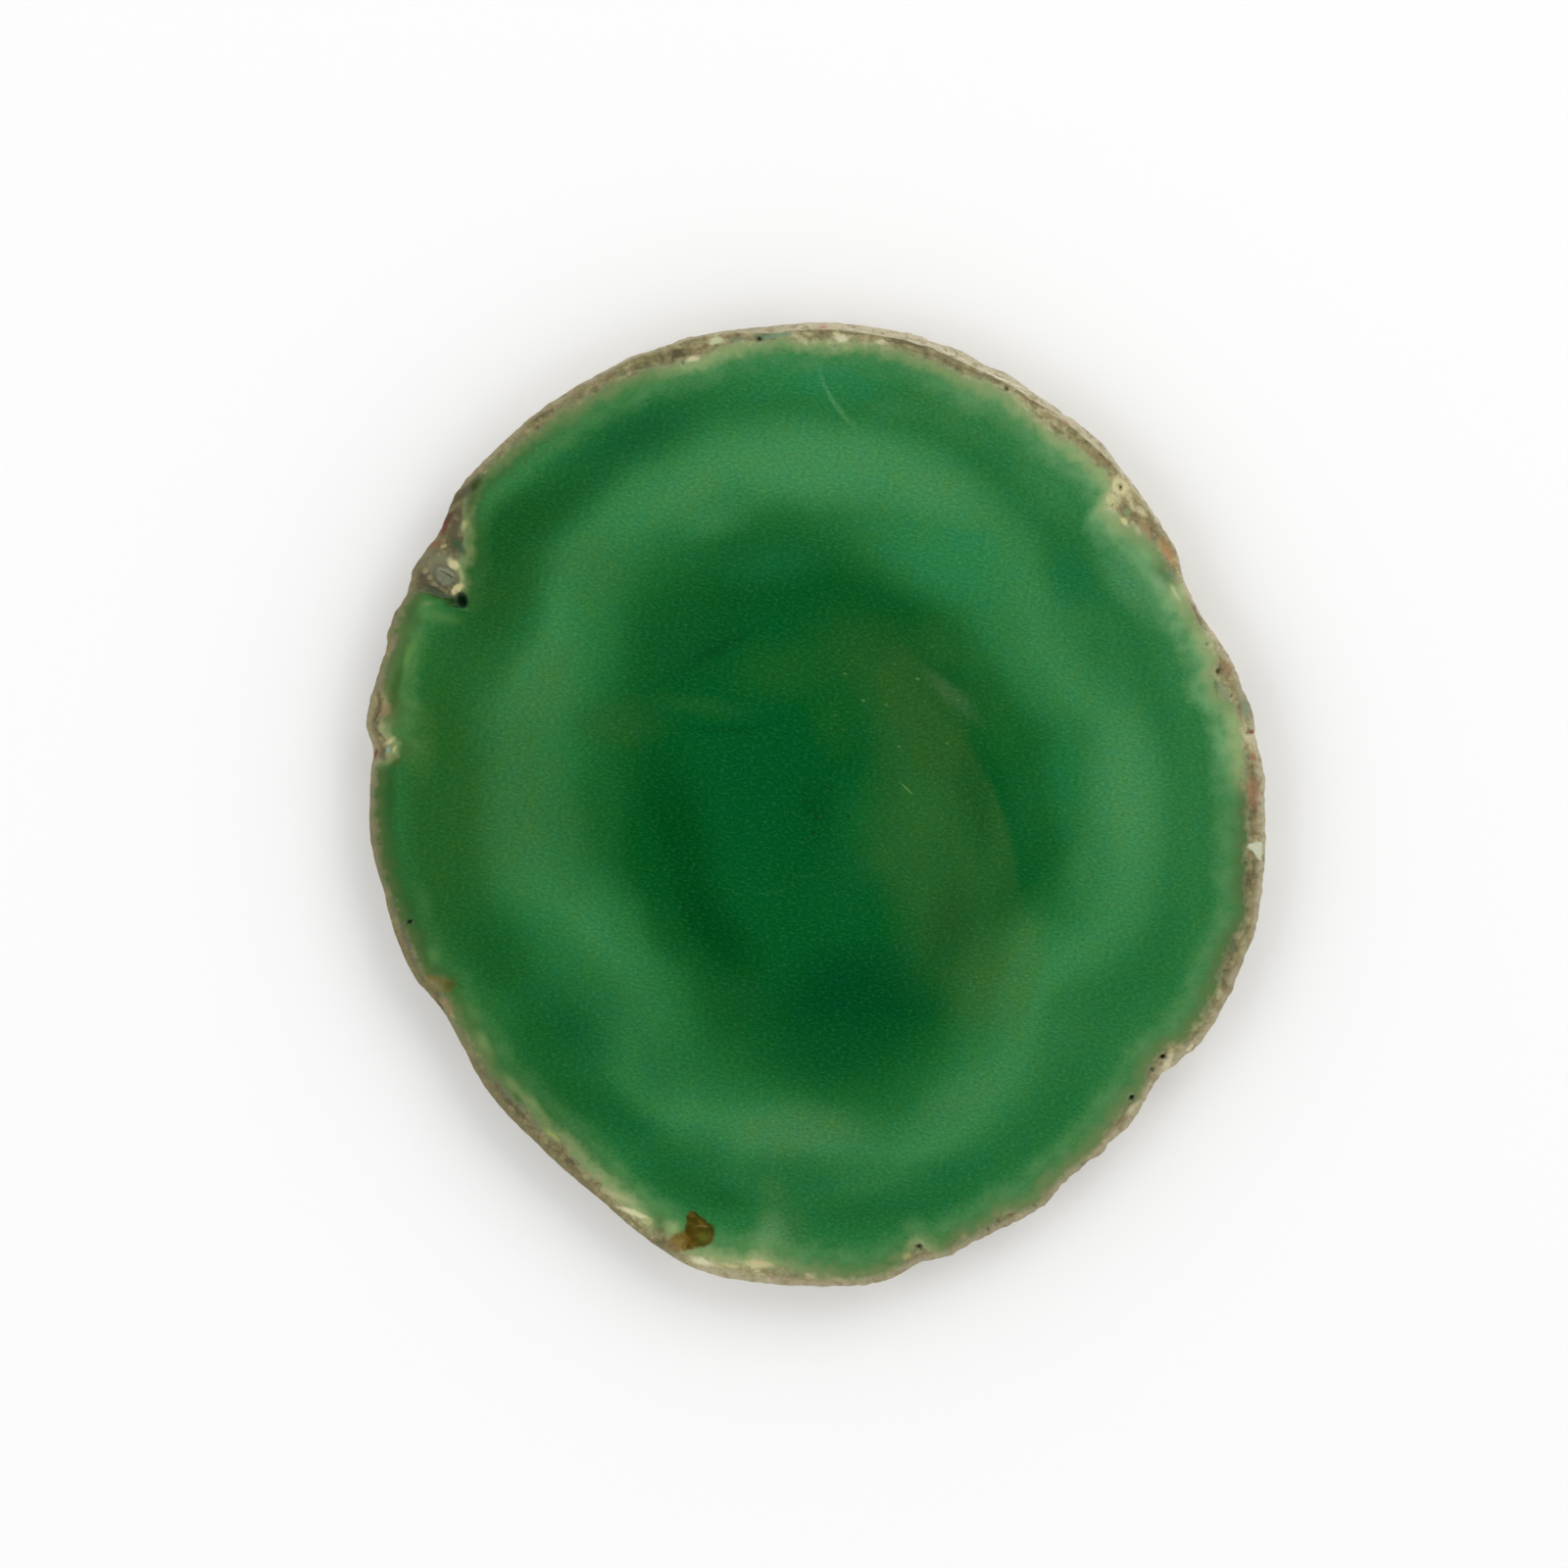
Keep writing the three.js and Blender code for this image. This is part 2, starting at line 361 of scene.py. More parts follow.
# %% Extrude the rings
stone = bmesh.new()
ray_of = stone.verts.layers.int.new("ray")
ring_of = stone.verts.layers.int.new("ring")
HUB_CENTRE = -1
hub = bmesh.ops.create_circle(stone, cap_ends=True, cap_tris=True, segments=RAYS, radius=HUB)["verts"]
for vert in hub:
    turn = math.degrees(math.atan2(vert.co.y, vert.co.x)) % 360
    vert[ray_of] = round(turn * RAYS / 360) % RAYS
    vert[ring_of] = HUB_CENTRE if vert.co.length < HUB / 2 else 0


def extrude_ring(rim, number):
    """Grows one ring of faces from the rim's edges, and returns the edges of the new rim."""
    grown = bmesh.ops.extrude_edge_only(stone, edges=rim)["geom"]
    fresh = {part for part in grown if isinstance(part, bmesh.types.BMVert)}
    for vert in fresh:
        vert[ring_of] = number
    edges = {edge for vert in fresh for edge in vert.link_edges}
    return [edge for edge in edges if edge.verts[0] in fresh and edge.verts[1] in fresh]


rim = [edge for edge in stone.edges if edge.is_boundary]
for number in range(1, len(rings)):
    rim = extrude_ring(rim, number)
print(len(stone.verts), "vertices,", len(stone.faces), "faces")

# %% Move the points to their places and close the back
BACK_CENTRE = Vector((0, 0, 0))
for vert in stone.verts:
    if vert[ring_of] == HUB_CENTRE:
        vert.co = (0, 0, THICKNESS)
    else:
        vert.co = points[vert[ring_of], vert[ray_of]]
end = bmesh.ops.extrude_edge_only(stone, edges=rim)["geom"]
tip = [part for part in end if isinstance(part, bmesh.types.BMVert)]
for vert in tip:
    vert[ring_of] = len(rings) - 1
bmesh.ops.pointmerge(stone, verts=tip, merge_co=BACK_CENTRE)
bmesh.ops.recalc_face_normals(stone, faces=stone.faces)
open_edges = sum(not edge.is_manifold for edge in stone.edges)
print("open edges:", open_edges, " volume:", round(stone.calc_volume()), "mm3")

# %% [markdown]
# ## Numbers for the material
#
# A material can only follow the bands if each vertex tells it where it stands. Five more numbers vary by
# direction alone and come from knots: how far the stone pales and glows beside the skin, which is partly
# its own pale layer and partly a painted glow of light through the translucent stone; how pale the thin
# fringe next to the skin is; how creamy the skin is; how light its outer rim is, which is partly its own
# cream and grey-brown and partly painted light on the upper right and painted shade on the lower left;
# and how olive the stone is there. All of them are kept as float attributes on the mesh. One more
# attribute is a place measured along and across the rim, for the skin's thin layers.

# %% What changes with direction
PALE_GLOW_BESIDE_SKIN = [
    [0, 0.35], [5, 0.65], [11, 0.8], [15, 0.7], [20, 0.75], [26, 0.75], [30, 0.9], [33, 0.8], [37, 0.9],
    [44, 0.8], [49, 0.62], [54, 0.52], [60, 0.4], [70, 0.5], [77, 0.2], [90, 0.18], [102, 0.25], [115, 0.3],
    [135, 0.15], [141, 0.12], [147, 0.12], [151, 0.05], [154, 0.4], [160, 0.55], [170, 0.45], [176, 0.05],
    [183, 0], [190, 0], [200, 0.15], [215, 0.28], [223, 0.25], [230, 0.2], [238, 0.25], [246, 0.5],
    [252, 0.45], [262, 0.6], [272, 0.4], [280, 0.35], [300, 0.35], [320, 0.4], [330, 0.4], [340, 0.35],
    [350, 0.4],
]
PALE_FRINGE = [
    [0, 0.05], [5, 0.8], [11, 0.9], [14, 0.5], [19, 0.7], [23, 0.9], [26, 0.6], [30, 1], [33, 0.1],
    [37, 0.5], [41, 0.6], [45, 0.9], [51, 0.9], [60, 0.8], [70, 0.65], [80, 0.6], [88, 0.8], [93, 0.7],
    [100, 0.8], [105, 0.9], [112, 0.4], [135, 0.3], [138, 0.4], [142, 0.5], [149, 0.6], [151, 0],
    [158, 0.1], [168, 0.1], [171, 0.7], [174, 0.6], [176, 0], [200, 0], [209, 0.2], [220, 0.2], [228, 0.4],
    [233, 0.6], [240, 0.8], [247, 1], [249.5, 0.3], [252, 0.7], [262, 0.9], [268, 0.5], [274, 0.3],
    [280, 0.3], [283.5, 0.7], [287, 0.2], [296, 0.3], [310, 0.25], [320, 0.2], [340, 0.05], [352, 0],
]
CREAM = [
    [0, 0.25], [4, 0.25], [9, 0.65], [13, 0.45], [17, 0.4], [22, 0.55], [27, 0.4], [32, 0.5], [38, 0.4],
    [43, 0.55], [47, 0.8], [50, 0.35], [56, 0.45], [63, 0.6], [70, 0.4], [80, 0.5], [90, 0.55], [96, 0.3],
    [103, 0.5], [108, 0.3], [120, 0.35], [135, 0.2], [144, 0.1], [147, 0.4], [151, 0.1], [160, 0.2],
    [170, 0.28], [180, 0.2], [192, 0.15], [200, 0.1], [212, 0.18], [230, 0.1], [240, 0.25], [247, 0.5],
    [251, 0.2], [256, 0.75], [262, 0.65], [268, 0.45], [280, 0.33], [290, 0.3], [300, 0.32], [310, 0.36],
    [317, 0.34], [325, 0.48], [332, 0.42], [340, 0.26], [344, 0.34], [352, 0.25], [355, 0.32],
]
# How light the skin's outer rim and the wall are by direction: partly their own colour, partly painted light
# on the upper right, where the key lamp is, and painted shade on the lower left.
RIM_LIGHT_AND_TONE = [
    [0, 0.75], [10, 0.7], [13, 0.4], [20, 0.8], [40, 0.8], [60, 0.9], [72, 1], [90, 0.9], [98, 0.6],
    [106, 0.6], [120, 0.5], [135, 0.3], [141, 0.05], [160, 0.05], [168, 0.25], [172, 0.3], [180, 0.1],
    [190, 0.05], [250, 0.05], [256, 0.6], [265, 0.5], [280, 0.45], [290, 0.4], [305, 0.4], [320, 0.6],
    [330, 0.55], [340, 0.45], [350, 0.65],
]
OLIVE_EDGE = [
    [0, 0.1], [10, 0], [100, 0], [120, 0.4], [140, 0.9], [148, 0.9], [153, 0.5], [158, 0.85], [168, 0.8],
    [176, 1], [193, 1], [200, 0.9], [212, 0.7], [225, 0.5], [235, 0.45], [250, 0.4], [262, 0.35],
    [280, 0.4], [320, 0.35], [345, 0.3],
]
by_direction = {
    "pale": round_line(PALE_GLOW_BESIDE_SKIN, ray_degrees),
    "fringe": round_line(PALE_FRINGE, ray_degrees),
    "cream": round_line(CREAM, ray_degrees),
    "rim_light_and_tone": round_line(RIM_LIGHT_AND_TONE, ray_degrees),
    "olive": round_line(OLIVE_EDGE, ray_degrees),
}

# %% Write the numbers onto the vertices
LAYER_LENGTH, LAYER_THICKNESS = 2.4, 0.4  # the skin's layers are this long and thick, mm
RIM_RADIUS = 37  # mm, a usual radius of the rim

by_point = {"growth": growth, "skin": skin, "inset": inset, "hollow": hollow}
layers = {name: stone.verts.layers.float.new(name) for name in [*by_point, *by_direction]}
along_rim = stone.verts.layers.float_vector.new("along_rim")
for vert in stone.verts:
    ring, ray = max(vert[ring_of], 0), vert[ray_of]
    at_centre = math.hypot(vert.co.x, vert.co.y) < HUB / 2
    for name, values in by_point.items():
        vert[layers[name]] = values[ring, ray]
    for name, values in by_direction.items():
        vert[layers[name]] = values[ray]
    if at_centre:
        vert[layers["growth"]] = 0
    lap = RIM_RADIUS / LAYER_LENGTH
    outwards = skin[ring, ray] + THICKNESS - vert.co.z
    vert[along_rim] = (lap * ray_x[ray], lap * ray_y[ray], outwards / LAYER_THICKNESS)
print("attributes:", ", ".join(layers))

# %% [markdown]
# ## Pits and the crystal pocket
#
# A few gas bubbles in the skin were cut open by the saw. At the upper left a deep hole sits beside a
# shallow nest of crystals. A boolean would tear the even mesh, so the faces round each pit are subdivided
# and their vertices are pressed down along an egg-shaped profile. Each vertex also remembers how deep in a
# pit it lies, and the material paints shade into it by that depth, darker towards the pit's middle.


# %% Press the pits into the front face
def at_angle(degrees, radius):
    """The x and y of a place that is given by its direction and radius."""
    return radius * math.cos(math.radians(degrees)), radius * math.sin(math.radians(degrees))


# Rows of x, y, length, width, depth, degrees the length is turned, and how strong the painted shade at the
# bottom is.
POCKET = [
    (-28.95, 16.65, 1.4, 1.05, 1.3, 100, 1),
    (-30.35, 18.25, 1.9, 1.3, 0.4, 140, 0),
]
PITS = [
    (-33.2, -9.6, 0.45, 0.38, 0.4, 20, 1), (-4.65, 38, 0.5, 0.4, 0.35, 0, 1),
    (8.4, -36.1, 0.6, 0.4, 0.4, 0, 0.8), (25.8, -23.9, 0.45, 0.3, 0.4, 45, 0.7),
    (28.3, -20.6, 0.55, 0.42, 0.5, 40, 1), (24.85, 25.9, 0.5, 0.4, 0.4, 130, 0.6),
    (32.8, 10.85, 0.5, 0.4, 0.4, 70, 0.5), (35.3, 5.9, 0.5, 0.4, 0.4, 70, 0.3),
]
# Smaller ones, as direction, radius, size and the strength of their painted shade.
SPECKS = [
    (16.9, 33.95, 0.3, 0.5), (14.7, 35, 0.35, 0.7), (22.3, 34.45, 0.4, 0.6), (45.3, 34.35, 0.35, 0.8),
    (65.4, 37.3, 0.5, 0.9), (61, 36.95, 0.3, 0.6), (81.3, 37.35, 0.3, 0.6), (87.7, 37.45, 0.3, 0.8),
    (106.8, 37.6, 0.4, 0.8), (192.7, 35.3, 0.25, 0.9), (289, 36.85, 0.3, 0.7), (292, 37.4, 0.4, 0.6),
    (293.6, 37.1, 0.45, 0.6), (298.6, 37.3, 0.35, 0.6), (306.5, 36.6, 0.5, 0.5), (317, 35.15, 0.5, 0.8),
    (321.7, 34.95, 0.5, 0.8), (337.8, 36, 0.4, 0.6), (352.2, 35.4, 0.3, 0.8),
]
SPECK_DEPTH = 0.35  # depth of a speck as a share of its size
NEAR_PIT = 1.35  # the mesh is made finer out to this many times a pit's own half length
REACHABLE = 1  # mm below a pit's bottom past which vertices belong to the wall or the back
SHADE_STEEPNESS, SHADE_EDGE = 1.6, 1.1  # a pit's painted shade starts a little outside its edge and deepens this steeply


def in_pit(place, pit):
    """0 at the middle of a pit and 1 at its edge."""
    x, y, length, width, _, turn, _ = pit
    away = complex(place.x - x, place.y - y) * complex(
        math.cos(math.radians(turn)), -math.sin(math.radians(turn)))
    return abs(complex(away.real / (length / 2), away.imag / (width / 2)))


def press(pit, cuts):
    """Makes the front face finer round one pit, presses its vertices down, and notes the painted shade each
    gets.
    """
    x, y, length, _, depth, _, dark = pit
    reach = NEAR_PIT * length / 2
    on_top = [v for v in stone.verts if v.co.z > THICKNESS / 2 and math.hypot(v.co.x - x, v.co.y - y) < reach]
    chosen = set(on_top)
    edges = {edge for vert in on_top for edge in vert.link_edges if edge.other_vert(vert) in chosen}
    bmesh.ops.subdivide_edges(stone, edges=list(edges), cuts=cuts, use_grid_fill=True)
    for vert in stone.verts:
        share = in_pit(vert.co, pit)
        if share < 1 and vert.co.z > THICKNESS - depth - REACHABLE:
            rounded = math.sqrt(1 - share**2)
            vert.co.z -= depth * rounded
            # painted shade, deeper towards the pit's middle
            shade = dark * min(1, SHADE_STEEPNESS * (SHADE_EDGE - share))
            vert[layers["hollow"]] = max(vert[layers["hollow"]], shade)


for pit in POCKET + PITS:
    press(pit, cuts=2)
for degrees, radius, size, dark in SPECKS:
    press((*at_angle(degrees, radius), size, size, SPECK_DEPTH * size, 0, dark), cuts=1)
print(len(stone.faces), "faces after the pits")

# %% Turn the stone into an object
SHARP_ANGLE = 38  # degrees: edges bent more than this stay crisp

for vert in stone.verts:
    vert.co = to_metres(*vert.co)
stone_mesh = bpy.data.meshes.new("agate_stone")
stone.to_mesh(stone_mesh)
stone.free()
stone_mesh.shade_smooth()
stone_mesh.set_sharp_from_angle(angle=math.radians(SHARP_ANGLE))
agate_stone = bpy.data.objects.new("agate_stone", stone_mesh)
bpy.context.collection.objects.link(agate_stone)
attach(agate_stone, "root")
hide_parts("agate_slice")
stone_mesh.calc_loop_triangles()
print(len(stone_mesh.loop_triangles), "triangles")

# %% [markdown]
# ## A material in layers
#
# The stone is painted the way a restorer would paint one: first the soft rings, then broad washes of
# darker or warmer green, then streaks and grain, and last the skin and its marks. Every layer is a mask
# that says where, and a colour that says what. A few short helpers keep each layer to one line.

# %% Helpers that add shader nodes
agate = bpy.data.materials.new("agate")
agate.use_nodes = True
tree = agate.node_tree
shader = tree.nodes["Principled BSDF"]


def add(kind, sockets, **settings):
    """Adds a node, sets it up, and puts a value or another node's output in each of its sockets."""
    made = tree.nodes.new("ShaderNode" + kind)
    for name, setting in settings.items():
        setattr(made, name, setting)
    for name, source in sockets.items():
        if isinstance(source, bpy.types.NodeSocket):
            tree.links.new(source, made.inputs[name])
        else:
            made.inputs[name].default_value = source
    return made


def math_node(operation, first, second=0.0):
    """One sum, such as ADD or MULTIPLY."""
    return add("Math", {0: first, 1: second}, operation=operation).outputs[0]


def multiply_add(value, factor, extra):
    """The value times a factor, plus something extra."""
    return add("Math", {0: value, 1: factor, 2: extra}, operation="MULTIPLY_ADD").outputs[0]


def swing(value, most):
    """A value from 0 to 1, moved to run from minus most to plus most."""
    return multiply_add(value, 2 * most, -most)


def mix(amount, under, over, blend="MIX"):
    """Lays one colour over another."""
    sockets = {0: amount, 6: under, 7: over}
    return add("Mix", sockets, data_type="RGBA", blend_type=blend).outputs[2]


def rise(value, start, end, top=1.0):
    """0 up to the start, then smoothly up to top at the end. It also works with start above end.

    A smooth step stays between the two by itself. Clamping it again would add a hidden node to each of
    the hundreds of masks, and that is more than a render engine can hold."""
    sockets = {"Value": value, "From Min": start, "From Max": end, "To Max": top}
    return add("MapRange", sockets, interpolation_type="SMOOTHSTEP", clamp=False).outputs[0]


def attribute(name):
    """A number that the mesh keeps on each vertex."""
    return add("Attribute", {}, attribute_name=name).outputs["Fac"]


def painted(red, green, blue):
    """A colour as the eye picks it, 0 to 255, in the linear numbers that a shader wants."""
    share = np.array([red, green, blue]) / 255
    linear = np.where(share <= 0.04045, share / 12.92, ((share + 0.055) / 1.055) ** 2.4)
    return (*linear.tolist(), 1.0)


print("mid green in linear numbers:", [round(part, 3) for part in painted(36, 104, 55)])

# %% Where the pattern is
WARP_SIZE, WARP = 5.0, 0.9  # clouds of this size make the washes' edges wander by this much, mm
TO_MM = 1 / MM

position = add("TexCoord", {}).outputs["Object"]
in_mm = {"Vector": position, "Location": (-CENTRE_X, -CENTRE_Y, 0), "Scale": (TO_MM, TO_MM, TO_MM)}
place = add("Mapping", in_mm, vector_type="POINT").outputs[0]


def noise_at(vector, size, detail=2.0, roughness=0.5, output="Fac"):
    """Cloudy noise whose clouds are this many mm across."""
    sockets = {"Vector": vector, "Scale": 1 / size, "Detail": detail, "Roughness": roughness}
    return add("TexNoise", sockets).outputs[output]


def wandering(size, most):
    """The place, shifted by up to this many mm by clouds of this size, so that outlines look natural."""
    clouds = add("VectorMath", {0: noise_at(place, size, output="Color"), 1: (0.5, 0.5, 0.5)},
                 operation="SUBTRACT").outputs[0]
    shift = add("VectorMath", {0: clouds, "Scale": 2 * most}, operation="SCALE").outputs[0]
    shifted = add("VectorMath", {0: place, 1: shift}, operation="ADD").outputs[0]
    return add("Mapping", {"Vector": shifted}, vector_type="POINT").outputs[0]


loose_place = wandering(WARP_SIZE, WARP)
print("the washes wander by up to", WARP, "mm")


def spot(centre, size, turn=0.0, core=0.0, top=1.0, where=None, deep=0.0):
    """An oval mask: full inside its core, and fading to nothing at its edge.

    It goes right through the stone, or down to a depth in mm below the front face."""
    sockets = {"Vector": where or loose_place, "Location": (*centre, THICKNESS), "Scale": (*size, deep)}
    sockets["Rotation"] = (0, 0, math.radians(turn))
    inside = add("Mapping", sockets, vector_type="TEXTURE").outputs[0]
    dome = add("TexGradient", {"Vector": inside}, gradient_type="SPHERICAL").outputs["Fac"]
    return rise(dome, 0.0, 1.0 - core, top)


def lay_spots(under, rows, where=None, deep=0.0):
    """Lays ovals over a colour, one by one. A row holds the oval's colour and then what spot() takes."""
    for colour, *oval in rows:
        under = mix(spot(*oval, where, deep), under, painted(*colour))
    return under


# %% [markdown]
# ## The colours of the rings
#
# The soft rings are a colour ramp that reads growth. Its stops are the usual colour of each ring, chosen
# and then corrected against the photograph. A B-spline between them keeps every change soft, as it is
# in a stone that light sinks into.

# %% Colour ramp of the rings
RING_COLOURS = [
    (0.00, (3, 78, 30)),
    (0.10, (4, 84, 34)),
    (0.22, (5, 84, 34)),
    (0.31, (7, 80, 31)),
    (0.38, (18, 90, 38)),
    (0.45, (34, 106, 52)),
    (0.51, (46, 118, 64)),
    (0.56, (55, 126, 71)),
    (0.61, (52, 122, 67)),
    (0.67, (42, 114, 60)),
    (0.74, (34, 106, 54)),
    (0.82, (34, 106, 53)),
    (0.90, (43, 113, 58)),
    (1.00, (52, 119, 64)),
]


def ramp(value, stops, interpolation):
    """A colour ramp from rows of (position, colour)."""
    made = add("ValToRGB", {"Fac": value})
    band = made.color_ramp
    band.interpolation = interpolation
    band.elements[0].position, band.elements[1].position = stops[0][0], stops[-1][0]
    band.elements[0].color, band.elements[1].color = painted(*stops[0][1]), painted(*stops[-1][1])
    for where, colour in stops[1:-1]:
        band.elements.new(where).color = painted(*colour)
    return made.outputs["Color"]


STIR_SIZE, STIR = 3.0, 0.015  # clouds of this many mm push the rings in and out by this much growth
growth_here = attribute("growth")
stirred = swing(noise_at(place, STIR_SIZE), STIR)
face = ramp(math_node("ADD", growth_here, stirred), RING_COLOURS, "B_SPLINE")
print(len(RING_COLOURS), "colours from the centre to the skin")

# %% [markdown]
# ## Washes
#
# Dye and natural stain went into the stone unevenly, so the same ring is blue-green on one side and olive
# on the other. Each wash is a large soft oval of one colour, given by its middle, its half sizes, the
# turn of its length, the share of it that is full, and its strength. The washes were placed one
# after another, wherever a render still differed from the photograph.

# %% Broad washes over the rings
WASHES = [
    # colour, middle, half sizes, turn, core, strength
    ((2, 81, 35), (-4.5, 1.5), (9, 9), 0, 0.2, 0.7),  # blue-green heart
    ((18, 94, 41), (4, -1.5), (4.5, 7), 0, 0, 0.7),
    ((1, 73, 27), (0, 0), (2.4, 2.4), 0, 0, 0.6),
    ((0, 71, 23), (-11.3, -2.5), (10, 4.4), 105, 0.1, 0.95),  # dark to the left of the heart
    ((0, 69, 23), (-8.6, -9.8), (8, 3.8), 128, 0.1, 0.9),  # and on below it
    ((2, 79, 28), (-14, -4.5), (8, 2.6), 104, 0.2, 0.85),
    ((8, 80, 30), (-11.5, -11.2), (5, 2.6), 130, 0, 0.6),
    ((0, 71, 31), (3, -15.8), (8.6, 6.2), 12, 0.25, 1),  # darkest green at the bottom
    ((5, 79, 34), (1.5, -20), (8, 4), 10, 0, 0.8),
    ((21, 82, 35), (-6.8, -16), (4, 3.5), 0, 0, 0.6),
    ((12, 87, 40), (2.5, -7), (5.5, 5.5), 0, 0, 0.5),
    ((32, 87, 34), (5, 11.5), (8.5, 5.2), -25, 0.1, 0.85),  # olive above the heart
    ((29, 90, 37), (13.5, 8.5), (4, 5), 0, 0, 0.7),
    ((25, 89, 35), (-2.5, 11), (7, 3.6), 0, 0, 0.8),
    ((11, 80, 32), (-8.5, 13.2), (5.5, 2.6), 28, 0, 0.6),
    ((33, 93, 39), (10.5, 13), (4.5, 3), -35, 0, 0.8),
    ((22, 98, 50), (-3.5, 20), (8, 3.4), 5, 0, 0.7),  # blue-green under the milky ring's top
    ((16, 84, 37), (-12, 13.5), (7, 4), 50, 0, 0.6),
    ((24, 96, 44), (17.6, 1), (3.2, 9), -8, 0, 0.6),
    ((27, 95, 39), (15.6, 6), (3, 5), 10, 0, 0.7),
    ((42, 124, 72), (11, 20.2), (9, 5.4), -28, 0, 0.75),  # bluish milk at the upper right
    ((50, 120, 65), (22.5, 13.4), (4.5, 7.5), 30, 0, 0.6),
    ((68, 134, 80), (25.4, 1), (4.8, 12), 0, 0, 0.7),  # palest milk on the right
    ((28, 112, 60), (20.4, 2.5), (2.6, 7), 0, 0, 0.55),
    ((66, 136, 81), (0, 27.6), (14, 4.6), 0, 0.2, 0.8),
    ((68, 134, 80), (9.6, 25.6), (7.5, 3.4), -24, 0.1, 0.65),
    ((50, 106, 53), (-25, 1), (6.5, 13), 0, 0.2, 0.8),  # warmer milk on the left
    ((60, 116, 60), (-22, 10), (4.5, 6), -10, 0, 0.7),
    ((42, 103, 50), (-20, -3.5), (4, 8.5), 0, 0.1, 0.6),
    ((53, 112, 57), (-18, 19.5), (5, 5.5), -30, 0.1, 0.65),
    ((68, 131, 75), (-10.5, 25.4), (5.5, 2.8), 25, 0, 0.6),
    ((32, 100, 50), (-16.5, -16.5), (9, 6), -45, 0, 0.7),
    ((28, 99, 49), (-12, -21.5), (6, 5), 0, 0.1, 0.65),
    ((66, 123, 71), (-1, -26.8), (9, 3.6), 0, 0.1, 0.75),
    ((62, 122, 71), (12, -24), (8, 3), 35, 0, 0.6),
    ((50, 115, 62), (20, -19), (6, 4.5), 45, 0, 0.5),
    ((24, 104, 56), (21, 18.5), (5, 3), -50, 0, 0.7),  # blue-green outside the milky ring
    ((28, 108, 60), (15.5, 28.6), (4.5, 1.6), -5, 0, 0.3),
    ((42, 122, 71), (0, 34.8), (11, 3), 0, 0, 0.85),
    ((54, 118, 62), (12, 31.5), (8, 3), -25, 0.1, 0.75),  # olive wedge at the upper right
    ((60, 126, 72), (19, 26.6), (7, 3.6), -42, 0.1, 0.6),
    ((76, 136, 86), (25.8, 18.4), (7, 2.8), -56, 0.1, 0.7),
    ((17, 82, 40), (-15, 30), (9.5, 3.8), 27, 0, 0.75),
    ((30, 84, 32), (-26, 17), (10.5, 5.4), 60, 0.1, 0.9),  # olive on the left
    ((36, 88, 33), (-30.5, 0), (5.6, 20), 0, 0.3, 0.85),
    ((19, 83, 32), (-26.3, -12.6), (5, 9), 32, 0.1, 0.8),
    ((14, 84, 39), (-20.5, -18.5), (7, 4.5), -45, 0, 0.85),
    ((32, 97, 42), (-25, -22), (17, 4.2), -51, 0.2, 0.75),
    ((19, 95, 46), (-15, -26.2), (7, 2.8), -40, 0, 0.85),
    ((26, 96, 46), (5, -33), (11, 2.4), 8, 0, 0.7),
    ((35, 103, 54), (0, -30.2), (13, 2.8), 0, 0.2, 0.6),
    ((22, 99, 51), (10.5, -30.2), (5.5, 2.4), 22, 0, 0.65),
    ((20, 92, 42), (-11, -30.6), (5.5, 3.2), -25, 0, 0.7),
    ((56, 109, 57), (-2.8, -34.6), (3.4, 4), 0, 0, 0.8),
    ((32, 104, 52), (18.5, -26), (7, 2.4), 38, 0, 0.4),
    ((50, 118, 63), (30.6, 0), (3.6, 17), 0, 0.1, 0.6),
    ((58, 126, 74), (29.2, 11.5), (3, 6), 18, 0, 0.4),
    ((34, 108, 54), (23, 13), (2.2, 3.8), 30, 0, 0.6),
    ((54, 122, 68), (22, -5), (2.6, 5), 0, 0, 0.6),
    ((56, 121, 68), (6, 32.2), (4, 1.8), -10, 0, 0.6),
    ((60, 128, 75), (-8.5, 23.4), (5, 2.4), 15, 0, 0.6),
    # painted shadow: a dark wash where a finger that held the stone cast its shade
    ((22, 85, 37), (-21, 24.6), (8, 3.6), 42, 0.1, 0.85),
    ((38, 96, 40), (-26.6, 10.5), (2.8, 4.5), -12, 0, 0.6),
    ((20, 87, 36), (-17.8, -1.4), (2.8, 7), 0, 0, 0.65),
    ((20, 88, 37), (-20, -23.4), (8, 3.6), -42, 0.1, 0.8),
    ((27, 98, 48), (-9.4, -29), (4.6, 3.8), -15, 0, 0.65),
    ((60, 106, 48), (-32.4, 5), (1.8, 5), -8, 0, 0.6),
    # partly the stone's own dark olive, partly a painted shadow of a finger that held the stone
    ((21, 82, 32), (-25.6, 22), (7.5, 3.4), 51, 0.25, 0.85),
    ((23, 90, 40), (-7.5, -32), (3.4, 1.9), -10, 0, 0.75),
    ((20, 87, 35), (-23, -19), (4.5, 2.8), -50, 0, 0.65),
    ((10, 81, 27), (-16, -4.5), (2.4, 5), 10, 0, 0.4),
    ((22, 92, 42), (6, -4), (2.4, 3.2), 0, 0, 0.5),
]
face = lay_spots(face, WASHES)
print(len(WASHES), "washes")

# %% [markdown]
# ## The olive crescent
#
# Right of the middle lies a brown-olive crescent. Its outer edge is the one sharp line of the pattern, an
# arc of a circle, and its inner edge is soft. A disc with two soft bites taken out of it makes that mask.
# Its tip is crisper and wider, and a thin pale grey oval lies on the tip's outer edge.

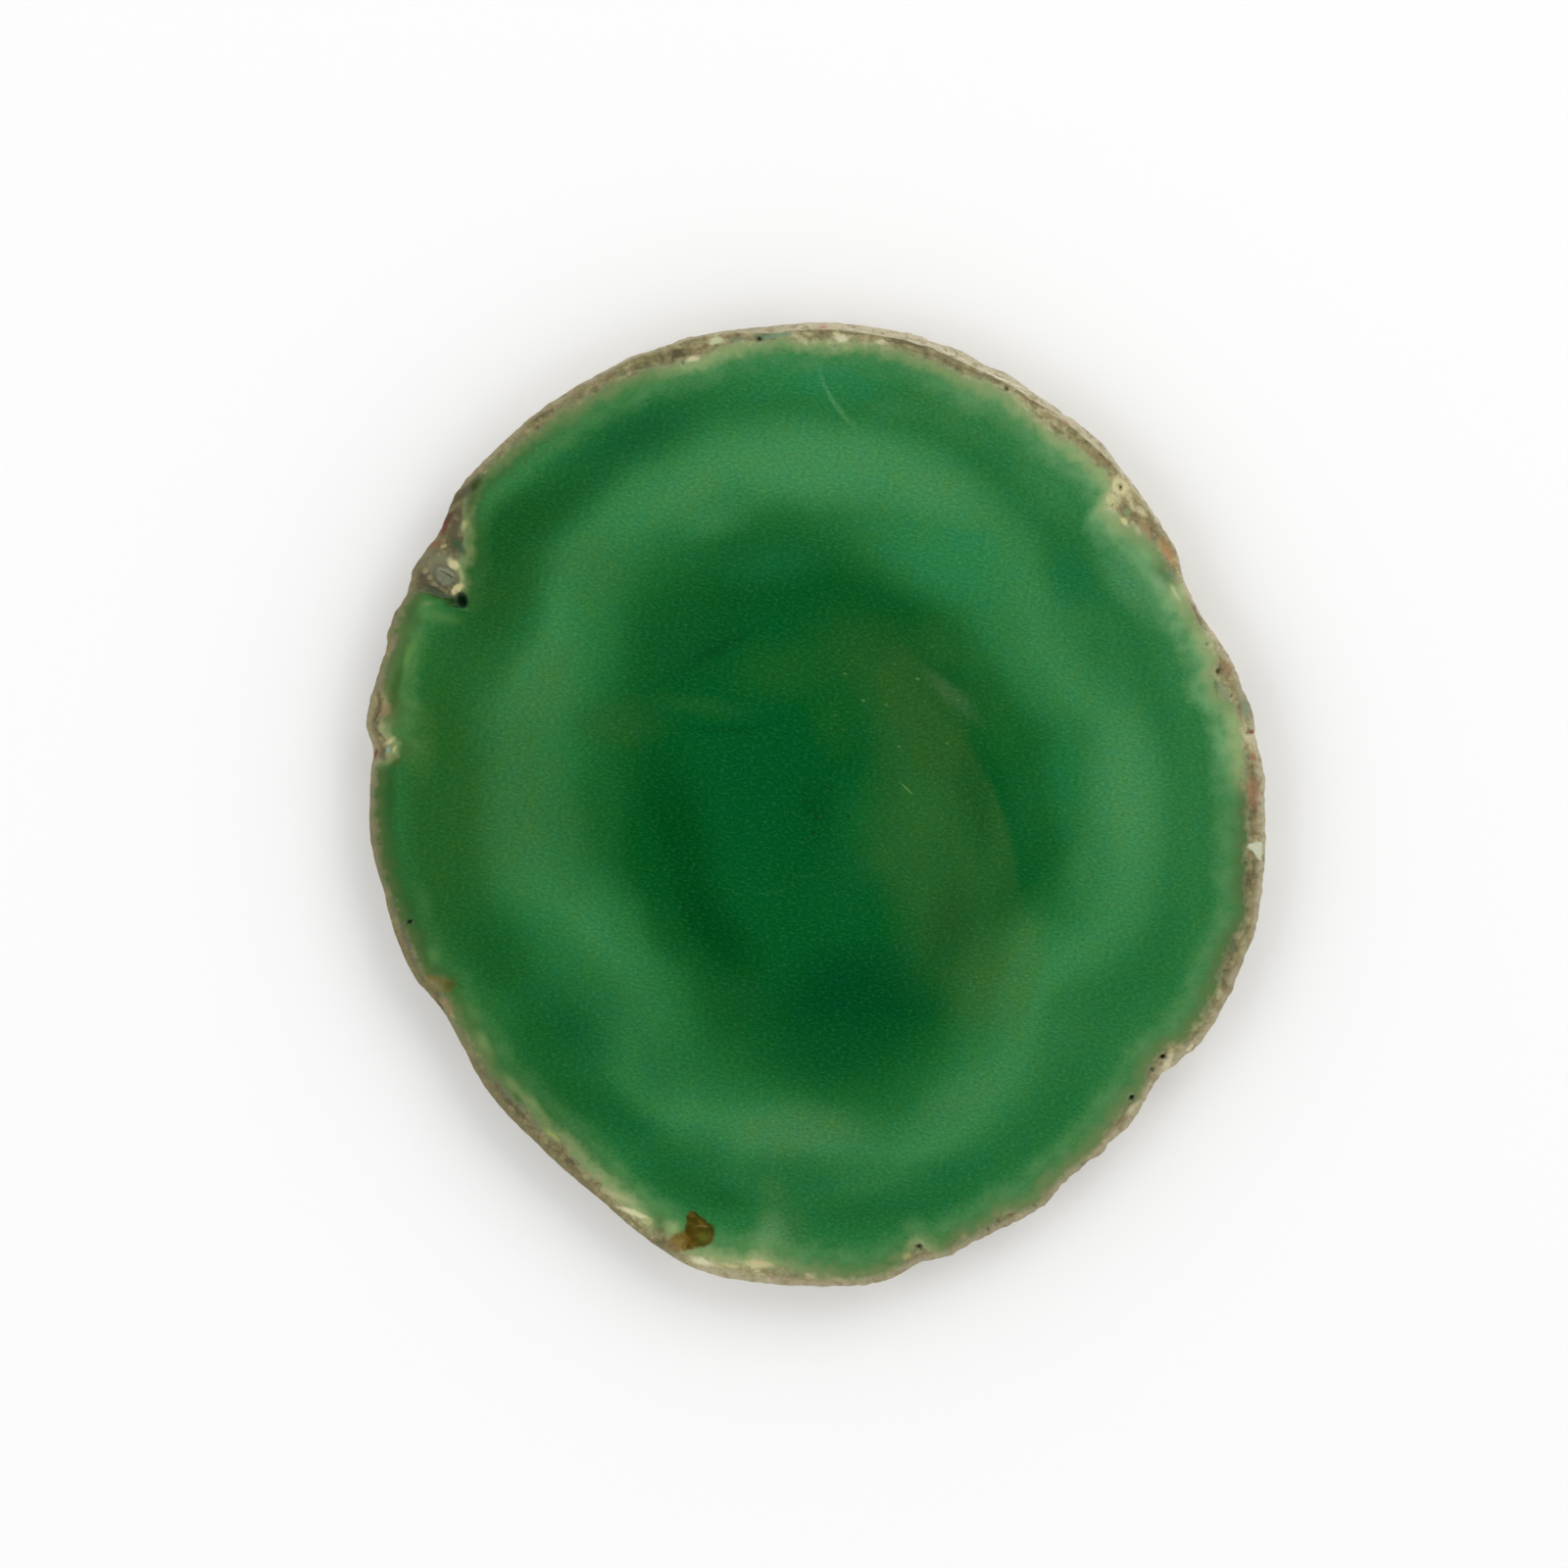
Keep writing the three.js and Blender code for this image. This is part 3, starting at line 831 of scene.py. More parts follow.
# %% The crescent and a pale grey oval on its tip
UNDER_CRESCENT = [
    # colour, middle, half sizes, turn, core, strength
    ((52, 102, 48), (13.6, -14.2), (4.6, 7.5), -12, 0, 0.8),
    ((62, 117, 60), (16.6, -14), (3, 8), -8, 0.1, 0.65),
    ((24, 88, 32), (1.6, 6.6), (3, 4), 0, 0, 0.6),
]
OVER_CRESCENT = [
    ((40, 89, 36), (8.9, 7.1), (7, 3.2), -62, 0.7, 0.7),  # the tip
    ((44, 100, 44), (8.6, -0.6), (3, 4.6), 0, 0, 0.5),
    ((30, 77, 33), (10.8, -10), (3.2, 6), -14, 0, 0.6),
    ((25, 80, 32), (13, 0.6), (2.1, 7), 6, 0.2, 0.65),
    ((64, 104, 62), (10.9, 9), (4.2, 1.1), -43, 0.1, 0.55),  # the pale grey oval
]
CRESCENT = 0.8  # strength of the crescent itself

disc = spot((-7, -9), (24.1, 24.1), 0, 0.965, where=place)
bite = spot((-12, 2), (19.5, 30), 0, 0.75)
low_bite = spot((-5, -10.5), (14.6, 11.5), 0, 0.65)
low_end = spot((9, 0), (13, 18), 0, 0.4)
crescent = math_node("MULTIPLY", disc, math_node("SUBTRACT", 1.0, math_node("MAXIMUM", bite, low_bite)))
crescent = math_node("MULTIPLY", crescent, low_end)
face = lay_spots(face, UNDER_CRESCENT)
face = mix(math_node("MULTIPLY", crescent, CRESCENT), face, painted(41, 94, 41))
face = lay_spots(face, OVER_CRESCENT)
print("the crescent lies over", len(UNDER_CRESCENT), "ovals and under", len(OVER_CRESCENT))

# %% [markdown]
# ## Streaks and cracks
#
# Healed cracks show as thin pale lines and faint planes of growth as thin dark ones. They are ovals too,
# and most are very long and very thin.

# %% Thin streaks
STREAKS = [
    # colour, middle, half sizes, turn, core, strength
    ((84, 145, 94), (1.6, 33.2), (4.6, 0.3), -58, 0, 0.55),  # healed crack at the top
    ((70, 132, 84), (3.4, 28.6), (3.4, 0.45), -72, 0, 0.5),
    ((40, 92, 40), (-16.5, 6.4), (6, 3), 0, 0, 0.6),
    ((32, 93, 42), (-9.8, 8), (6.5, 1.3), -3, 0, 0.5),
    ((6, 70, 28), (-8, 12.6), (5.5, 0.7), 30, 0, 0.7),
    ((2, 72, 32), (-7, 6.2), (6.5, 0.6), 4, 0, 0.6),
    ((96, 142, 82), (7.2, 1.4), (1.3, 0.13), -42, 0.1, 0.7),
    ((24, 92, 44), (-3.5, -7), (1.8, 0.25), 0, 0, 0.6),
    ((24, 92, 44), (-1.2, -5.6), (1.0, 0.2), 0, 0, 0.6),
    ((90, 138, 88), (-3.6, -35.2), (2.2, 3.2), 0, 0, 0.7),  # pale plume at the bottom
    ((58, 114, 62), (-3.8, -31.4), (1.8, 2.6), 0, 0, 0.5),
]
face = lay_spots(face, STREAKS)
print(len(STREAKS), "streaks")

# %% [markdown]
# ## Grain
#
# Seen close, the polish shows a fine grain of short, nearly level dashes, a scatter of dark pinholes near
# the middle and a few pale dust-like fibres above it. Noise that is read from a place stretched one way
# gives dashes.

# %% Fine grain, pinholes and fibres
GRAIN_SIZE, GRAIN = 0.2, 0.55  # size in mm, and how far the colour swings
TINT_SIZE, TINT = 1.6, 0.3  # mm, and how far red and blue drift apart from place to place
DASH_LENGTH, DASH_TURN = 1.8, -12  # a dash's length in widths, and its turn in degrees
DASHES = {"Vector": place, "Scale": (DASH_LENGTH, 1, 1), "Rotation": (0, 0, math.radians(DASH_TURN))}
dash_place = add("Mapping", DASHES, vector_type="TEXTURE").outputs[0]
grain_noise = noise_at(dash_place, GRAIN_SIZE, detail=2.0, roughness=0.7)
grain = multiply_add(grain_noise, 2 * GRAIN, 1 - GRAIN)
tint = swing(noise_at(place, TINT_SIZE, detail=3.0, roughness=0.6), TINT)
red, blue = multiply_add(grain, tint, grain), math_node("SUBTRACT", grain, math_node("MULTIPLY", grain, tint))
face = mix(1.0, face, add("CombineColor", {0: red, 1: grain, 2: blue}).outputs[0], "MULTIPLY")
face = mix(rise(grain_noise, 0.5, 0.8, 0.05), face, painted(150, 170, 140))

PINHOLES, FIBRES = 1.8, 1.1  # how many fit side by side in a mm
CLUSTER_SIZE = 1.1  # the pinholes come in clusters of about this many mm
holes = add("TexVoronoi", {"Vector": place, "Scale": PINHOLES}, feature="F1").outputs["Distance"]
scattered = rise(noise_at(place, CLUSTER_SIZE), 0.42, 0.58)
pinholes = math_node("MULTIPLY", rise(holes, 0.3, 0.14), spot((1.2, -1.4), (3.4, 5.4), 20, 0.3))
face = mix(math_node("MULTIPLY", pinholes, scattered), face, painted(22, 42, 14))
dust = add("TexVoronoi", {"Vector": dash_place, "Scale": FIBRES}, feature="F1").outputs["Distance"]
fibres = math_node("MULTIPLY", rise(dust, 0.15, 0.05), spot((6.5, 8.5), (8, 7), -20, 0.3, 0.4))
face = mix(fibres, face, painted(112, 156, 84))
print("grain of", GRAIN_SIZE, "mm in dashes", round(DASH_LENGTH * GRAIN_SIZE, 2), "mm long")

# %% [markdown]
# ## The skin
#
# The skin is a crumbly mix of cream, tan and grey-brown mineral with dark specks. Beside it the stone is
# pale, in places almost white: partly its own pale layer, partly a painted glow of light through the
# translucent stone. The skin's inner edge wanders, so noise is added to the distance before the mask
# is cut.

# %% Skin masks
skin_depth = attribute("skin")
inset_depth = attribute("inset")
layered = noise_at(add("Attribute", {}, attribute_name="along_rim").outputs["Vector"], 1.0, detail=3.0)
WOBBLE_SIZE, WOBBLE = 0.9, 0.8  # clouds of this size shift the skin's inner edge by up to this much, mm
SKIN_FADE = (-0.4, 0.75)  # mm outwards over which the stone gives way to skin
wobble = swing(noise_at(place, WOBBLE_SIZE, detail=3.0, roughness=0.6), WOBBLE)
rough_skin = math_node("ADD", skin_depth, wobble)
skin_mask = rise(rough_skin, *SKIN_FADE)
print("the stone gives way to skin over", round(SKIN_FADE[1] - SKIN_FADE[0], 2), "mm")

# %% The stone beside the skin, and a painted glow
GLOW, OLIVE, FRINGE = (-3.2, -1.0), (-2.2, -0.4), (-1.2, 0.1)  # mm out from the skin's edge: starts, is full
WIDER_FRINGE = 0.4  # mm that the fringe gains where the stone is palest
PATCH_SIZE, PATCHY = 1.3, 1.8  # the glow comes in patches of this many mm, and is this strong in them

olive = attribute("olive")
patchy = math_node("MULTIPLY", noise_at(place, PATCH_SIZE), PATCHY)
# glow: the stone's pale layer beside the skin together with a painted glow of light through the translucent
# stone
glow = math_node("MULTIPLY", rise(rough_skin, *GLOW), attribute("pale"))
glow = math_node("MULTIPLY", glow, patchy)
face = mix(glow, face, mix(olive, painted(114, 160, 108), painted(106, 143, 78)))
face = mix(math_node("MULTIPLY", rise(rough_skin, *OLIVE, 0.85), olive), face, painted(46, 84, 38))
fringe_depth = multiply_add(attribute("pale"), WIDER_FRINGE, rough_skin)
fringe_colour = mix(attribute("fringe"), painted(80, 102, 58), painted(155, 172, 119))
face = mix(rise(fringe_depth, *FRINGE, 0.8), face, fringe_colour)
print("the glow reaches", -GLOW[0], "mm in, the olive", -OLIVE[0], "mm and the fringe", -FRINGE[0], "mm")

# %% The skin's colours, with painted light and shade on its outer rim
tight_place = wandering(0.8, 0.25)
CLOUDS, FINE_CLOUDS, CRUMB, RIM_CLOUDS = 1.4, 0.3, 0.7, 0.7  # sizes, mm
CLOUD_TONE, FINE_TONE, CRUMB_TONE, LAYER_TONE = 0.4, 0.3, 0.11, 0.45  # how far each shifts the tone
CRUMB_MIDDLE, CRUMB_FALL = 0.16, -0.35  # a crumb's extra tone at its middle, and how it falls outwards
DARK_SPECKS = 1.2  # how many fit side by side in a mm
mottle = swing(noise_at(place, CLOUDS), CLOUD_TONE)
mottle = math_node("ADD", mottle, swing(noise_at(place, FINE_CLOUDS), FINE_TONE))
crumb = add("TexVoronoi", {"Vector": tight_place, "Scale": 1 / CRUMB}, feature="F1").outputs
crumb_shade = multiply_add(crumb["Distance"], CRUMB_FALL, CRUMB_MIDDLE)
crumb_number = add("SeparateColor", {0: crumb["Color"]}).outputs["Green"]
crumb_shade = math_node("ADD", crumb_shade, swing(crumb_number, CRUMB_TONE))
layering = swing(layered, LAYER_TONE)
tone = math_node("ADD", math_node("ADD", mottle, crumb_shade), math_node("ADD", layering, attribute("cream")))
skin_colour = ramp(tone, [
    (0.00, (80, 72, 42)),
    (0.12, (97, 90, 52)),
    (0.30, (119, 110, 70)),
    (0.50, (140, 131, 89)),
    (0.72, (168, 160, 117)),
    (1.00, (204, 196, 155)),
], "LINEAR")
# The outer rim and the wall: lighter on the upper right and darker on the lower left, partly their own colour
# and partly painted light and shade.
rim_colour = mix(attribute("rim_light_and_tone"), painted(108, 101, 64), painted(204, 194, 164))
tall_place = add("Mapping", {"Vector": place, "Scale": (1, 1, 0.4)}, vector_type="POINT").outputs[0]
rim_clouds = noise_at(tall_place, RIM_CLOUDS, detail=3.0, roughness=0.6)
rim_colour = mix(rise(rim_clouds, 0.46, 0.66, 0.75), rim_colour, painted(136, 124, 88))
outer_rim = rise(math_node("ADD", inset_depth, mottle), 0.8, 0.2, 0.8)
skin_colour = mix(outer_rim, skin_colour, rim_colour)
specks = add("TexVoronoi", {"Vector": tight_place, "Scale": DARK_SPECKS}, feature="F1").outputs["Distance"]
skin_colour = mix(rise(specks, 0.13, 0.05, 0.5), skin_colour, painted(72, 62, 38))
surface = mix(skin_mask, face, skin_colour)
print("the skin has crumbs of", CRUMB, "mm in clouds of", CLOUDS, "mm")

# %% [markdown]
# ## Marks on the rim
#
# Many small marks give the rim its character: cream knobs, red and orange stains, and the crystal pocket.
# Each is a small oval placed by its direction and radius, with its length along the rim. An amber-brown
# block at the bottom, a brown tongue and a white tooth have straight sides, so they are drawn as polygons.


# %% Rim marks
MARK_DEPTH = 3.5  # marks fade out this far below the front face, mm
WALL_SHOWS = (48, 100)  # degrees between which the wall is seen from the front: marks go right down there


def rim_spot(degrees, radius, along, across, lean=0.0, core=0.4, top=1.0):
    """An oval mask placed by direction and radius, with its length along the rim."""
    deep = 0 if WALL_SHOWS[0] < degrees < WALL_SHOWS[1] else MARK_DEPTH
    centre = at_angle(degrees, radius)
    return spot(centre, (along, across), degrees + 90 + lean, core, top, tight_place, deep)


RIM_MARKS = [
    # colour, direction, radius, half length, half width, lean, core, strength
    ((150, 112, 78), 1.5, 35.7, 1.9, 0.75, 0, 0.3, 0.7),
    ((146, 92, 66), 6.2, 35.9, 0.5, 0.3, 0, 0.3, 0.8),
    ((190, 184, 146), 9, 35.8, 1.0, 0.7, 0, 0.4, 0.8),
    ((132, 58, 42), 9.4, 36.05, 0.35, 0.22, 0, 0.3, 0.9),
    ((124, 140, 112), 12.6, 35.9, 1.7, 0.5, 0, 0.1, 0.8),
    ((120, 138, 104), 15.5, 34.6, 1.1, 0.5, 0, 0.2, 0.6),
    ((78, 104, 66), 16.5, 34.05, 0.7, 0.22, 0, 0.2, 0.75),
    ((150, 108, 78), 18.4, 35.3, 0.9, 0.4, 0, 0.2, 0.7),
    ((104, 86, 58), 26.5, 34.7, 1.7, 0.28, 0, 0.2, 0.8),
    ((172, 184, 136), 30.5, 34, 1.0, 0.3, 0, 0.2, 0.8),
    ((96, 128, 92), 33, 34.3, 0.5, 0.5, 40, 0.2, 0.8),
    ((164, 124, 78), 35.8, 35.3, 2.0, 0.6, -4, 0.1, 0.85),
    ((146, 120, 78), 40.2, 35.1, 1.8, 0.5, -16, 0.1, 0.75),
    ((70, 131, 78), 29.7, 32.1, 2.4, 0.9, 0, 0, 0.6),
    ((130, 162, 120), 32.7, 33.3, 1.5, 0.7, 0, 0, 0.65),
    ((114, 157, 108), 37.6, 32.9, 1.6, 0.7, 0, 0, 0.6),
    ((60, 124, 75), 43, 31.8, 2.8, 1.0, 0, 0, 0.45),
    ((206, 200, 174), 39.6, 36.25, 0.9, 0.25, 0, 0.2, 0.7),
    ((198, 190, 150), 42, 35.75, 0.8, 0.4, 0, 0.2, 0.75),
    ((198, 186, 140), 44.5, 35.9, 0.6, 0.45, 0, 0.2, 0.7),
    ((168, 168, 128), 40.4, 34.45, 0.8, 0.4, 0, 0, 0.65),
    ((206, 200, 166), 34.3, 36, 0.9, 0.2, 8, 0.3, 0.8),
    ((196, 190, 132), 42.6, 34.1, 0.5, 0.35, 0, 0.4, 0.9),
    ((122, 146, 100), 43.3, 34.9, 0.5, 0.4, 0, 0.3, 0.8),
    ((202, 196, 146), 46.3, 35.9, 1.0, 0.75, -10, 0.5, 0.95),
    ((186, 186, 128), 45.8, 34.6, 0.9, 0.5, 0, 0.3, 0.8),
    ((136, 118, 78), 51.5, 36.4, 2.4, 0.35, 2, 0.3, 0.7),
    ((174, 100, 80), 57, 37.4, 0.8, 0.2, 0, 0.3, 0.75),
    ((112, 98, 68), 61.5, 37.35, 3.4, 0.2, 0, 0.2, 0.8),
    ((112, 100, 70), 69, 37.6, 3.0, 0.24, 2, 0.2, 0.8),
    ((228, 224, 204), 65, 38.05, 3.4, 0.1, 2, 0.2, 0.8),
    ((104, 92, 66), 78.5, 38.35, 4.0, 0.16, 2, 0.2, 0.85),
    ((224, 220, 198), 73.5, 38.55, 2.4, 0.1, 1, 0.2, 0.7),
    ((122, 112, 80), 74, 37.95, 2.6, 0.25, 0, 0.2, 0.7),
    ((196, 192, 156), 82, 38.1, 0.8, 0.35, 0, 0.3, 0.7),
    ((98, 96, 66), 85.8, 38.5, 1.7, 0.14, -2, 0.2, 0.85),
    ((206, 200, 168), 87, 38.1, 0.9, 0.35, 0, 0.3, 0.8),
    ((176, 104, 88), 89.3, 39.05, 0.6, 0.24, 0, 0.2, 0.8),
    ((98, 132, 98), 95, 38.4, 2.4, 0.3, 0, 0.2, 0.8),
    ((188, 196, 156), 102.3, 38.7, 0.8, 0.4, 0, 0.4, 0.85),
    ((92, 112, 84), 99.8, 38.5, 1.0, 0.4, 0, 0.2, 0.6),
    ((206, 200, 158), 105.5, 37.7, 0.8, 0.35, 0, 0.3, 0.7),
    ((44, 54, 18), 137.4, 38.2, 2.0, 0.7, 0, 0.2, 0.85),
    ((70, 64, 30), 139.2, 38.5, 1.6, 0.5, 0, 0.2, 0.8),
    ((54, 82, 38), 138.6, 37.5, 1.7, 0.6, 0, 0.1, 0.75),
    ((78, 72, 40), 140.7, 37.9, 0.8, 0.4, 0, 0.2, 0.7),
    ((66, 40, 22), 142, 38, 0.8, 0.35, 0, 0.3, 0.85),
    ((60, 94, 42), 155.3, 35.9, 1.3, 0.8, 0, 0, 0.6),
    ((62, 86, 46), 154.5, 36.6, 1.8, 0.5, 0, 0.1, 0.5),
    ((136, 122, 86), 159.5, 37, 1.2, 0.45, 0, 0.1, 0.5),
    ((122, 116, 84), 164.1, 37.1, 1.6, 0.5, 0, 0.1, 0.5),
    ((138, 112, 80), 167.6, 36, 0.9, 0.8, 0, 0.1, 0.5),
    ((52, 86, 37), 163.8, 35.7, 3.4, 0.6, 0, 0, 0.65),
    ((98, 140, 74), 159.7, 35.4, 1.8, 0.6, 0, 0, 0.6),
    ((54, 88, 34), 166.3, 35.4, 1.2, 0.5, 0, 0, 0.6),
    ((184, 180, 124), 171.6, 35.2, 0.75, 0.36, -40, 0.1, 0.85),
    ((176, 176, 120), 172.7, 34.65, 0.5, 0.22, 0, 0.1, 0.85),
    ((120, 146, 128), 172.8, 35.2, 0.4, 0.3, 0, 0.4, 0.9),
    ((92, 90, 55), 173.8, 35.5, 0.5, 0.4, 0, 0.1, 0.75),
    ((116, 122, 76), 173.5, 34.75, 0.4, 0.3, 0, 0.1, 0.7),
    ((102, 38, 30), 173.4, 36.2, 0.6, 0.22, 0, 0.3, 0.9),
    ((74, 84, 26), 174.3, 34.5, 0.6, 0.45, 0, 0, 0.6),
    ((36, 78, 30), 179, 34.7, 3.4, 0.8, 0, 0, 0.5),
    ((60, 111, 57), 194, 33, 2.4, 0.9, 0, 0, 0.5),
    ((88, 132, 74), 201.6, 33.6, 1.3, 0.8, 0, 0, 0.55),
    ((84, 66, 44), 208, 34.85, 0.8, 0.14, 0, 0.3, 0.8),
    ((132, 116, 78), 208.8, 34.35, 1.2, 0.42, 6, 0.3, 0.8),
    ((152, 138, 102), 210.2, 34.3, 0.45, 0.2, 0, 0.2, 0.7),
    ((86, 122, 70), 211, 32.8, 2.0, 0.7, 6, 0, 0.5),
    ((116, 146, 90), 215.6, 33.4, 1.7, 0.75, -6, 0, 0.6),
    ((116, 142, 88), 222.9, 33.75, 1.7, 0.6, -5, 0, 0.6),
    ((64, 94, 48), 224.6, 34.2, 1.1, 0.35, 0, 0, 0.7),
    ((124, 148, 94), 226.8, 33.7, 2.0, 0.65, -6, 0, 0.6),
    ((150, 160, 80), 231.5, 34.6, 1.3, 0.3, 0, 0.2, 0.6),
    ((168, 167, 122), 242.8, 35.9, 2.2, 0.4, 4, 0.1, 0.7),
    ((212, 208, 164), 245.8, 36.55, 2.0, 0.34, 4, 0.3, 0.8),
    ((172, 172, 120), 248, 36.85, 0.7, 0.4, 0, 0.2, 0.8),
    ((84, 108, 66), 249.4, 36.3, 0.45, 0.5, 0, 0.1, 0.7),
    ((94, 98, 58), 249.9, 37.15, 0.5, 0.5, 0, 0.2, 0.8),
    ((146, 166, 110), 251.3, 36.5, 1.1, 0.9, -20, 0, 0.75),
    ((204, 200, 162), 256, 38.5, 1.3, 0.42, 0, 0.3, 0.85),
    ((186, 178, 124), 259.4, 38.35, 1.3, 0.3, 0, 0.2, 0.7),
    ((192, 182, 132), 262.9, 37.85, 1.7, 0.42, 0, 0.3, 0.8),
    ((36, 102, 46), 271.7, 36.1, 1.4, 0.7, 0, 0, 0.6),
    ((70, 106, 54), 279, 38, 0.9, 0.4, 0, 0, 0.6),
    ((160, 158, 96), 281.3, 37.6, 0.6, 0.4, 0, 0.1, 0.7),
    ((192, 186, 146), 316.1, 35.8, 1.1, 0.4, 0, 0.2, 0.65),
    ((202, 196, 160), 323.8, 35.6, 1.3, 0.5, 10, 0.3, 0.7),
    ((206, 200, 166), 326.8, 36.4, 0.6, 0.25, 0, 0.3, 0.7),
]
for colour, *oval in RIM_MARKS:
    surface = mix(rim_spot(*oval), surface, painted(*colour))
print(len(RIM_MARKS), "marks")

# %% The crystal pocket's surroundings
POCKET_MARKS = [
    # colour, middle, half sizes, turn, core, strength
    ((104, 106, 78), (-31, 19.3), (2.1, 2.1), 0, 0.3, 0.8),
    ((96, 40, 28), (-30.3, 22.6), (1.1, 0.3), 74, 0.3, 0.85),
    ((128, 72, 54), (-31, 21.3), (0.8, 0.3), 35, 0.2, 0.7),
    ((176, 162, 118), (-30.4, 21.05), (0.4, 0.25), 20, 0.3, 0.7),
    ((44, 74, 34), (-29.15, 21), (1.25, 0.55), -50, 0.3, 0.92),
    ((70, 118, 58), (-28.3, 21.6), (0.6, 0.8), 0, 0, 0.5),
    ((160, 160, 106), (-28.7, 22.8), (0.7, 0.36), 75, 0.1, 0.85),
    ((82, 100, 52), (-28.4, 23.9), (0.8, 0.5), 60, 0.1, 0.75),
    ((102, 114, 82), (-30.7, 20.05), (0.9, 0.35), 10, 0.2, 0.75),
    ((196, 190, 140), (-29.65, 19.6), (0.8, 0.55), -48, 0.3, 0.9),
    ((150, 164, 106), (-29, 18.8), (0.3, 1.2), 10, 0.1, 0.7),
    ((194, 182, 134), (-29.35, 17.6), (0.75, 0.45), 35, 0.5, 0.9),
    ((80, 72, 34), (-31.8, 18.3), (1.1, 0.6), -25, 0.1, 0.6),
    ((60, 54, 28), (-31.9, 18.6), (0.9, 0.7), -30, 0.4, 0.6),
    ((146, 136, 92), (-31.95, 19.05), (0.42, 0.3), 30, 0.3, 0.75),
    ((138, 128, 86), (-31.55, 18.5), (0.4, 0.34), 0, 0.3, 0.75),
    ((130, 122, 82), (-31.2, 17.95), (0.42, 0.3), -30, 0.3, 0.7),
    ((50, 66, 34), (-31.2, 17.3), (1.7, 0.6), -22, 0.2, 0.85),
    ((50, 54, 30), (-31.2, 17.6), (1.5, 0.22), -22, 0.3, 0.8),
    ((40, 62, 28), (-30.2, 16.9), (1.1, 0.42), -20, 0.2, 0.9),
    # painted shade: the next two dark ovals, just left of the deep hole
    ((40, 68, 30), (-29.9, 16.4), (0.9, 0.5), 0, 0, 0.85),
    ((28, 50, 20), (-29.6, 16.65), (0.5, 0.5), 0, 0.1, 0.85),
    ((82, 128, 70), (-30.7, 15.3), (2.4, 0.9), -12, 0, 0.6),
    ((116, 138, 88), (-31.8, 16.4), (0.7, 0.4), 0, 0, 0.6),
    ((80, 76, 52), (-30.3, 18.6), (1.2, 0.95), -31, 0.7, 0.85),
    ((124, 128, 102), (-30.3, 18.6), (1.05, 0.78), -31, 0.6, 0.95),
    ((146, 142, 116), (-30.6, 18.9), (0.5, 0.3), -31, 0, 0.6),
    ((52, 50, 34), (-30.1, 18.7), (1.2, 0.09), -27, 0.3, 0.8),
    ((84, 82, 60), (-30.5, 18.3), (0.5, 0.07), 50, 0.2, 0.7),
]
surface = lay_spots(surface, POCKET_MARKS, tight_place, MARK_DEPTH)
print(len(POCKET_MARKS), "marks round the pocket")


# %% Patches with straight sides
def depth_inside(corners):
    """How deep a place lies inside a patch, in mm. Its corners run anticlockwise and all point outwards."""
    nearest = None
    for (x, y), (next_x, next_y) in zip(corners, corners[1:] + corners[:1]):
        length = math.hypot(next_x - x, next_y - y)
        inwards = ((y - next_y) / length, (next_x - x) / length, 0)
        reach = add("VectorMath", {0: tight_place, 1: inwards}, operation="DOT_PRODUCT").outputs["Value"]
        depth = math_node("SUBTRACT", reach, inwards[0] * x + inwards[1] * y)
        nearest = math_node("MINIMUM", nearest, depth) if nearest else depth
    return nearest


BLOCK = [(-10.35, -33.17), (-10.75, -33.6), (-10.75, -34.4), (-10.6, -36.35), (-9.14, -36.2),
         (-8.37, -35.66), (-8.3, -34.45), (-8.86, -34), (-9.93, -33.17)]
BLOCK_FOOT = [(-10.2, -34.4), (-11.2, -34.9), (-12.45, -35.5), (-12.25, -36.15), (-11.3, -36.75),
              (-9.9, -36.4)]
TONGUE = [(-32.06, -13.78), (-31.9, -15.3), (-30, -15.5), (-29.3, -14.95), (-29.4, -14.3), (-29.95, -14.1)]
TOOTH = [at_angle(355.4, 36.7), at_angle(354.9, 35.35), at_angle(354.2, 35.3), at_angle(352.4, 36.75)]
BLOCK_MARKS = [
    # colour, middle, half sizes, turn, core, strength
    ((66, 48, 6), (-10.1, -34.9), (0.6, 0.9), 10, 0, 0.8),
    ((86, 94, 28), (-9.2, -35.4), (0.8, 0.7), 40, 0.1, 0.75),
    ((126, 110, 64), (-9.2, -34.45), (1.2, 0.08), 2, 0.2, 0.7),
]
TONGUE_MARKS = [
    ((70, 80, 30), (-29.7, -14.7), (1.0, 0.8), 0, 0.1, 0.9),
    ((58, 66, 22), (-29.7, -14.2), (0.9, 0.14), -14, 0.2, 0.7),
    ((128, 112, 68), (-31.4, -14.5), (0.9, 0.5), -10, 0, 0.6),
]

block_depth = depth_inside(BLOCK)
amber = mix(rise(noise_at(dash_place, 0.6, detail=3.0), 0.4, 0.62), painted(66, 54, 8), painted(100, 76, 26))
amber = lay_spots(amber, BLOCK_MARKS, tight_place)
dark_side = spot((-9, -33.9), (2, 1.9), 0, 0.4, where=tight_place)
amber = mix(math_node("MULTIPLY", rise(block_depth, 0.5, 0.2, 0.85), dark_side), amber, painted(48, 50, 10))
foot = mix(rise(noise_at(place, 0.4), 0.4, 0.6), painted(106, 82, 30), painted(130, 103, 52))
surface = mix(rise(depth_inside(BLOCK_FOOT), -0.1, 0.35, 0.9), surface, foot)
surface = mix(rise(block_depth, -0.1, 0.2, 0.94), surface, amber)

brown = lay_spots(painted(104, 98, 52), TONGUE_MARKS, tight_place)
surface = mix(rise(depth_inside(TONGUE), -0.1, 0.3, 0.85), surface, brown)
surface = mix(spot((-29, -14.85), (0.7, 0.14), -25, 0, 0.6, tight_place), surface, painted(40, 78, 26))
surface = mix(rise(depth_inside(TOOTH), 0, 0.25, 0.9), surface, painted(196, 202, 172))
print("the block's outline has", len(BLOCK), "corners")

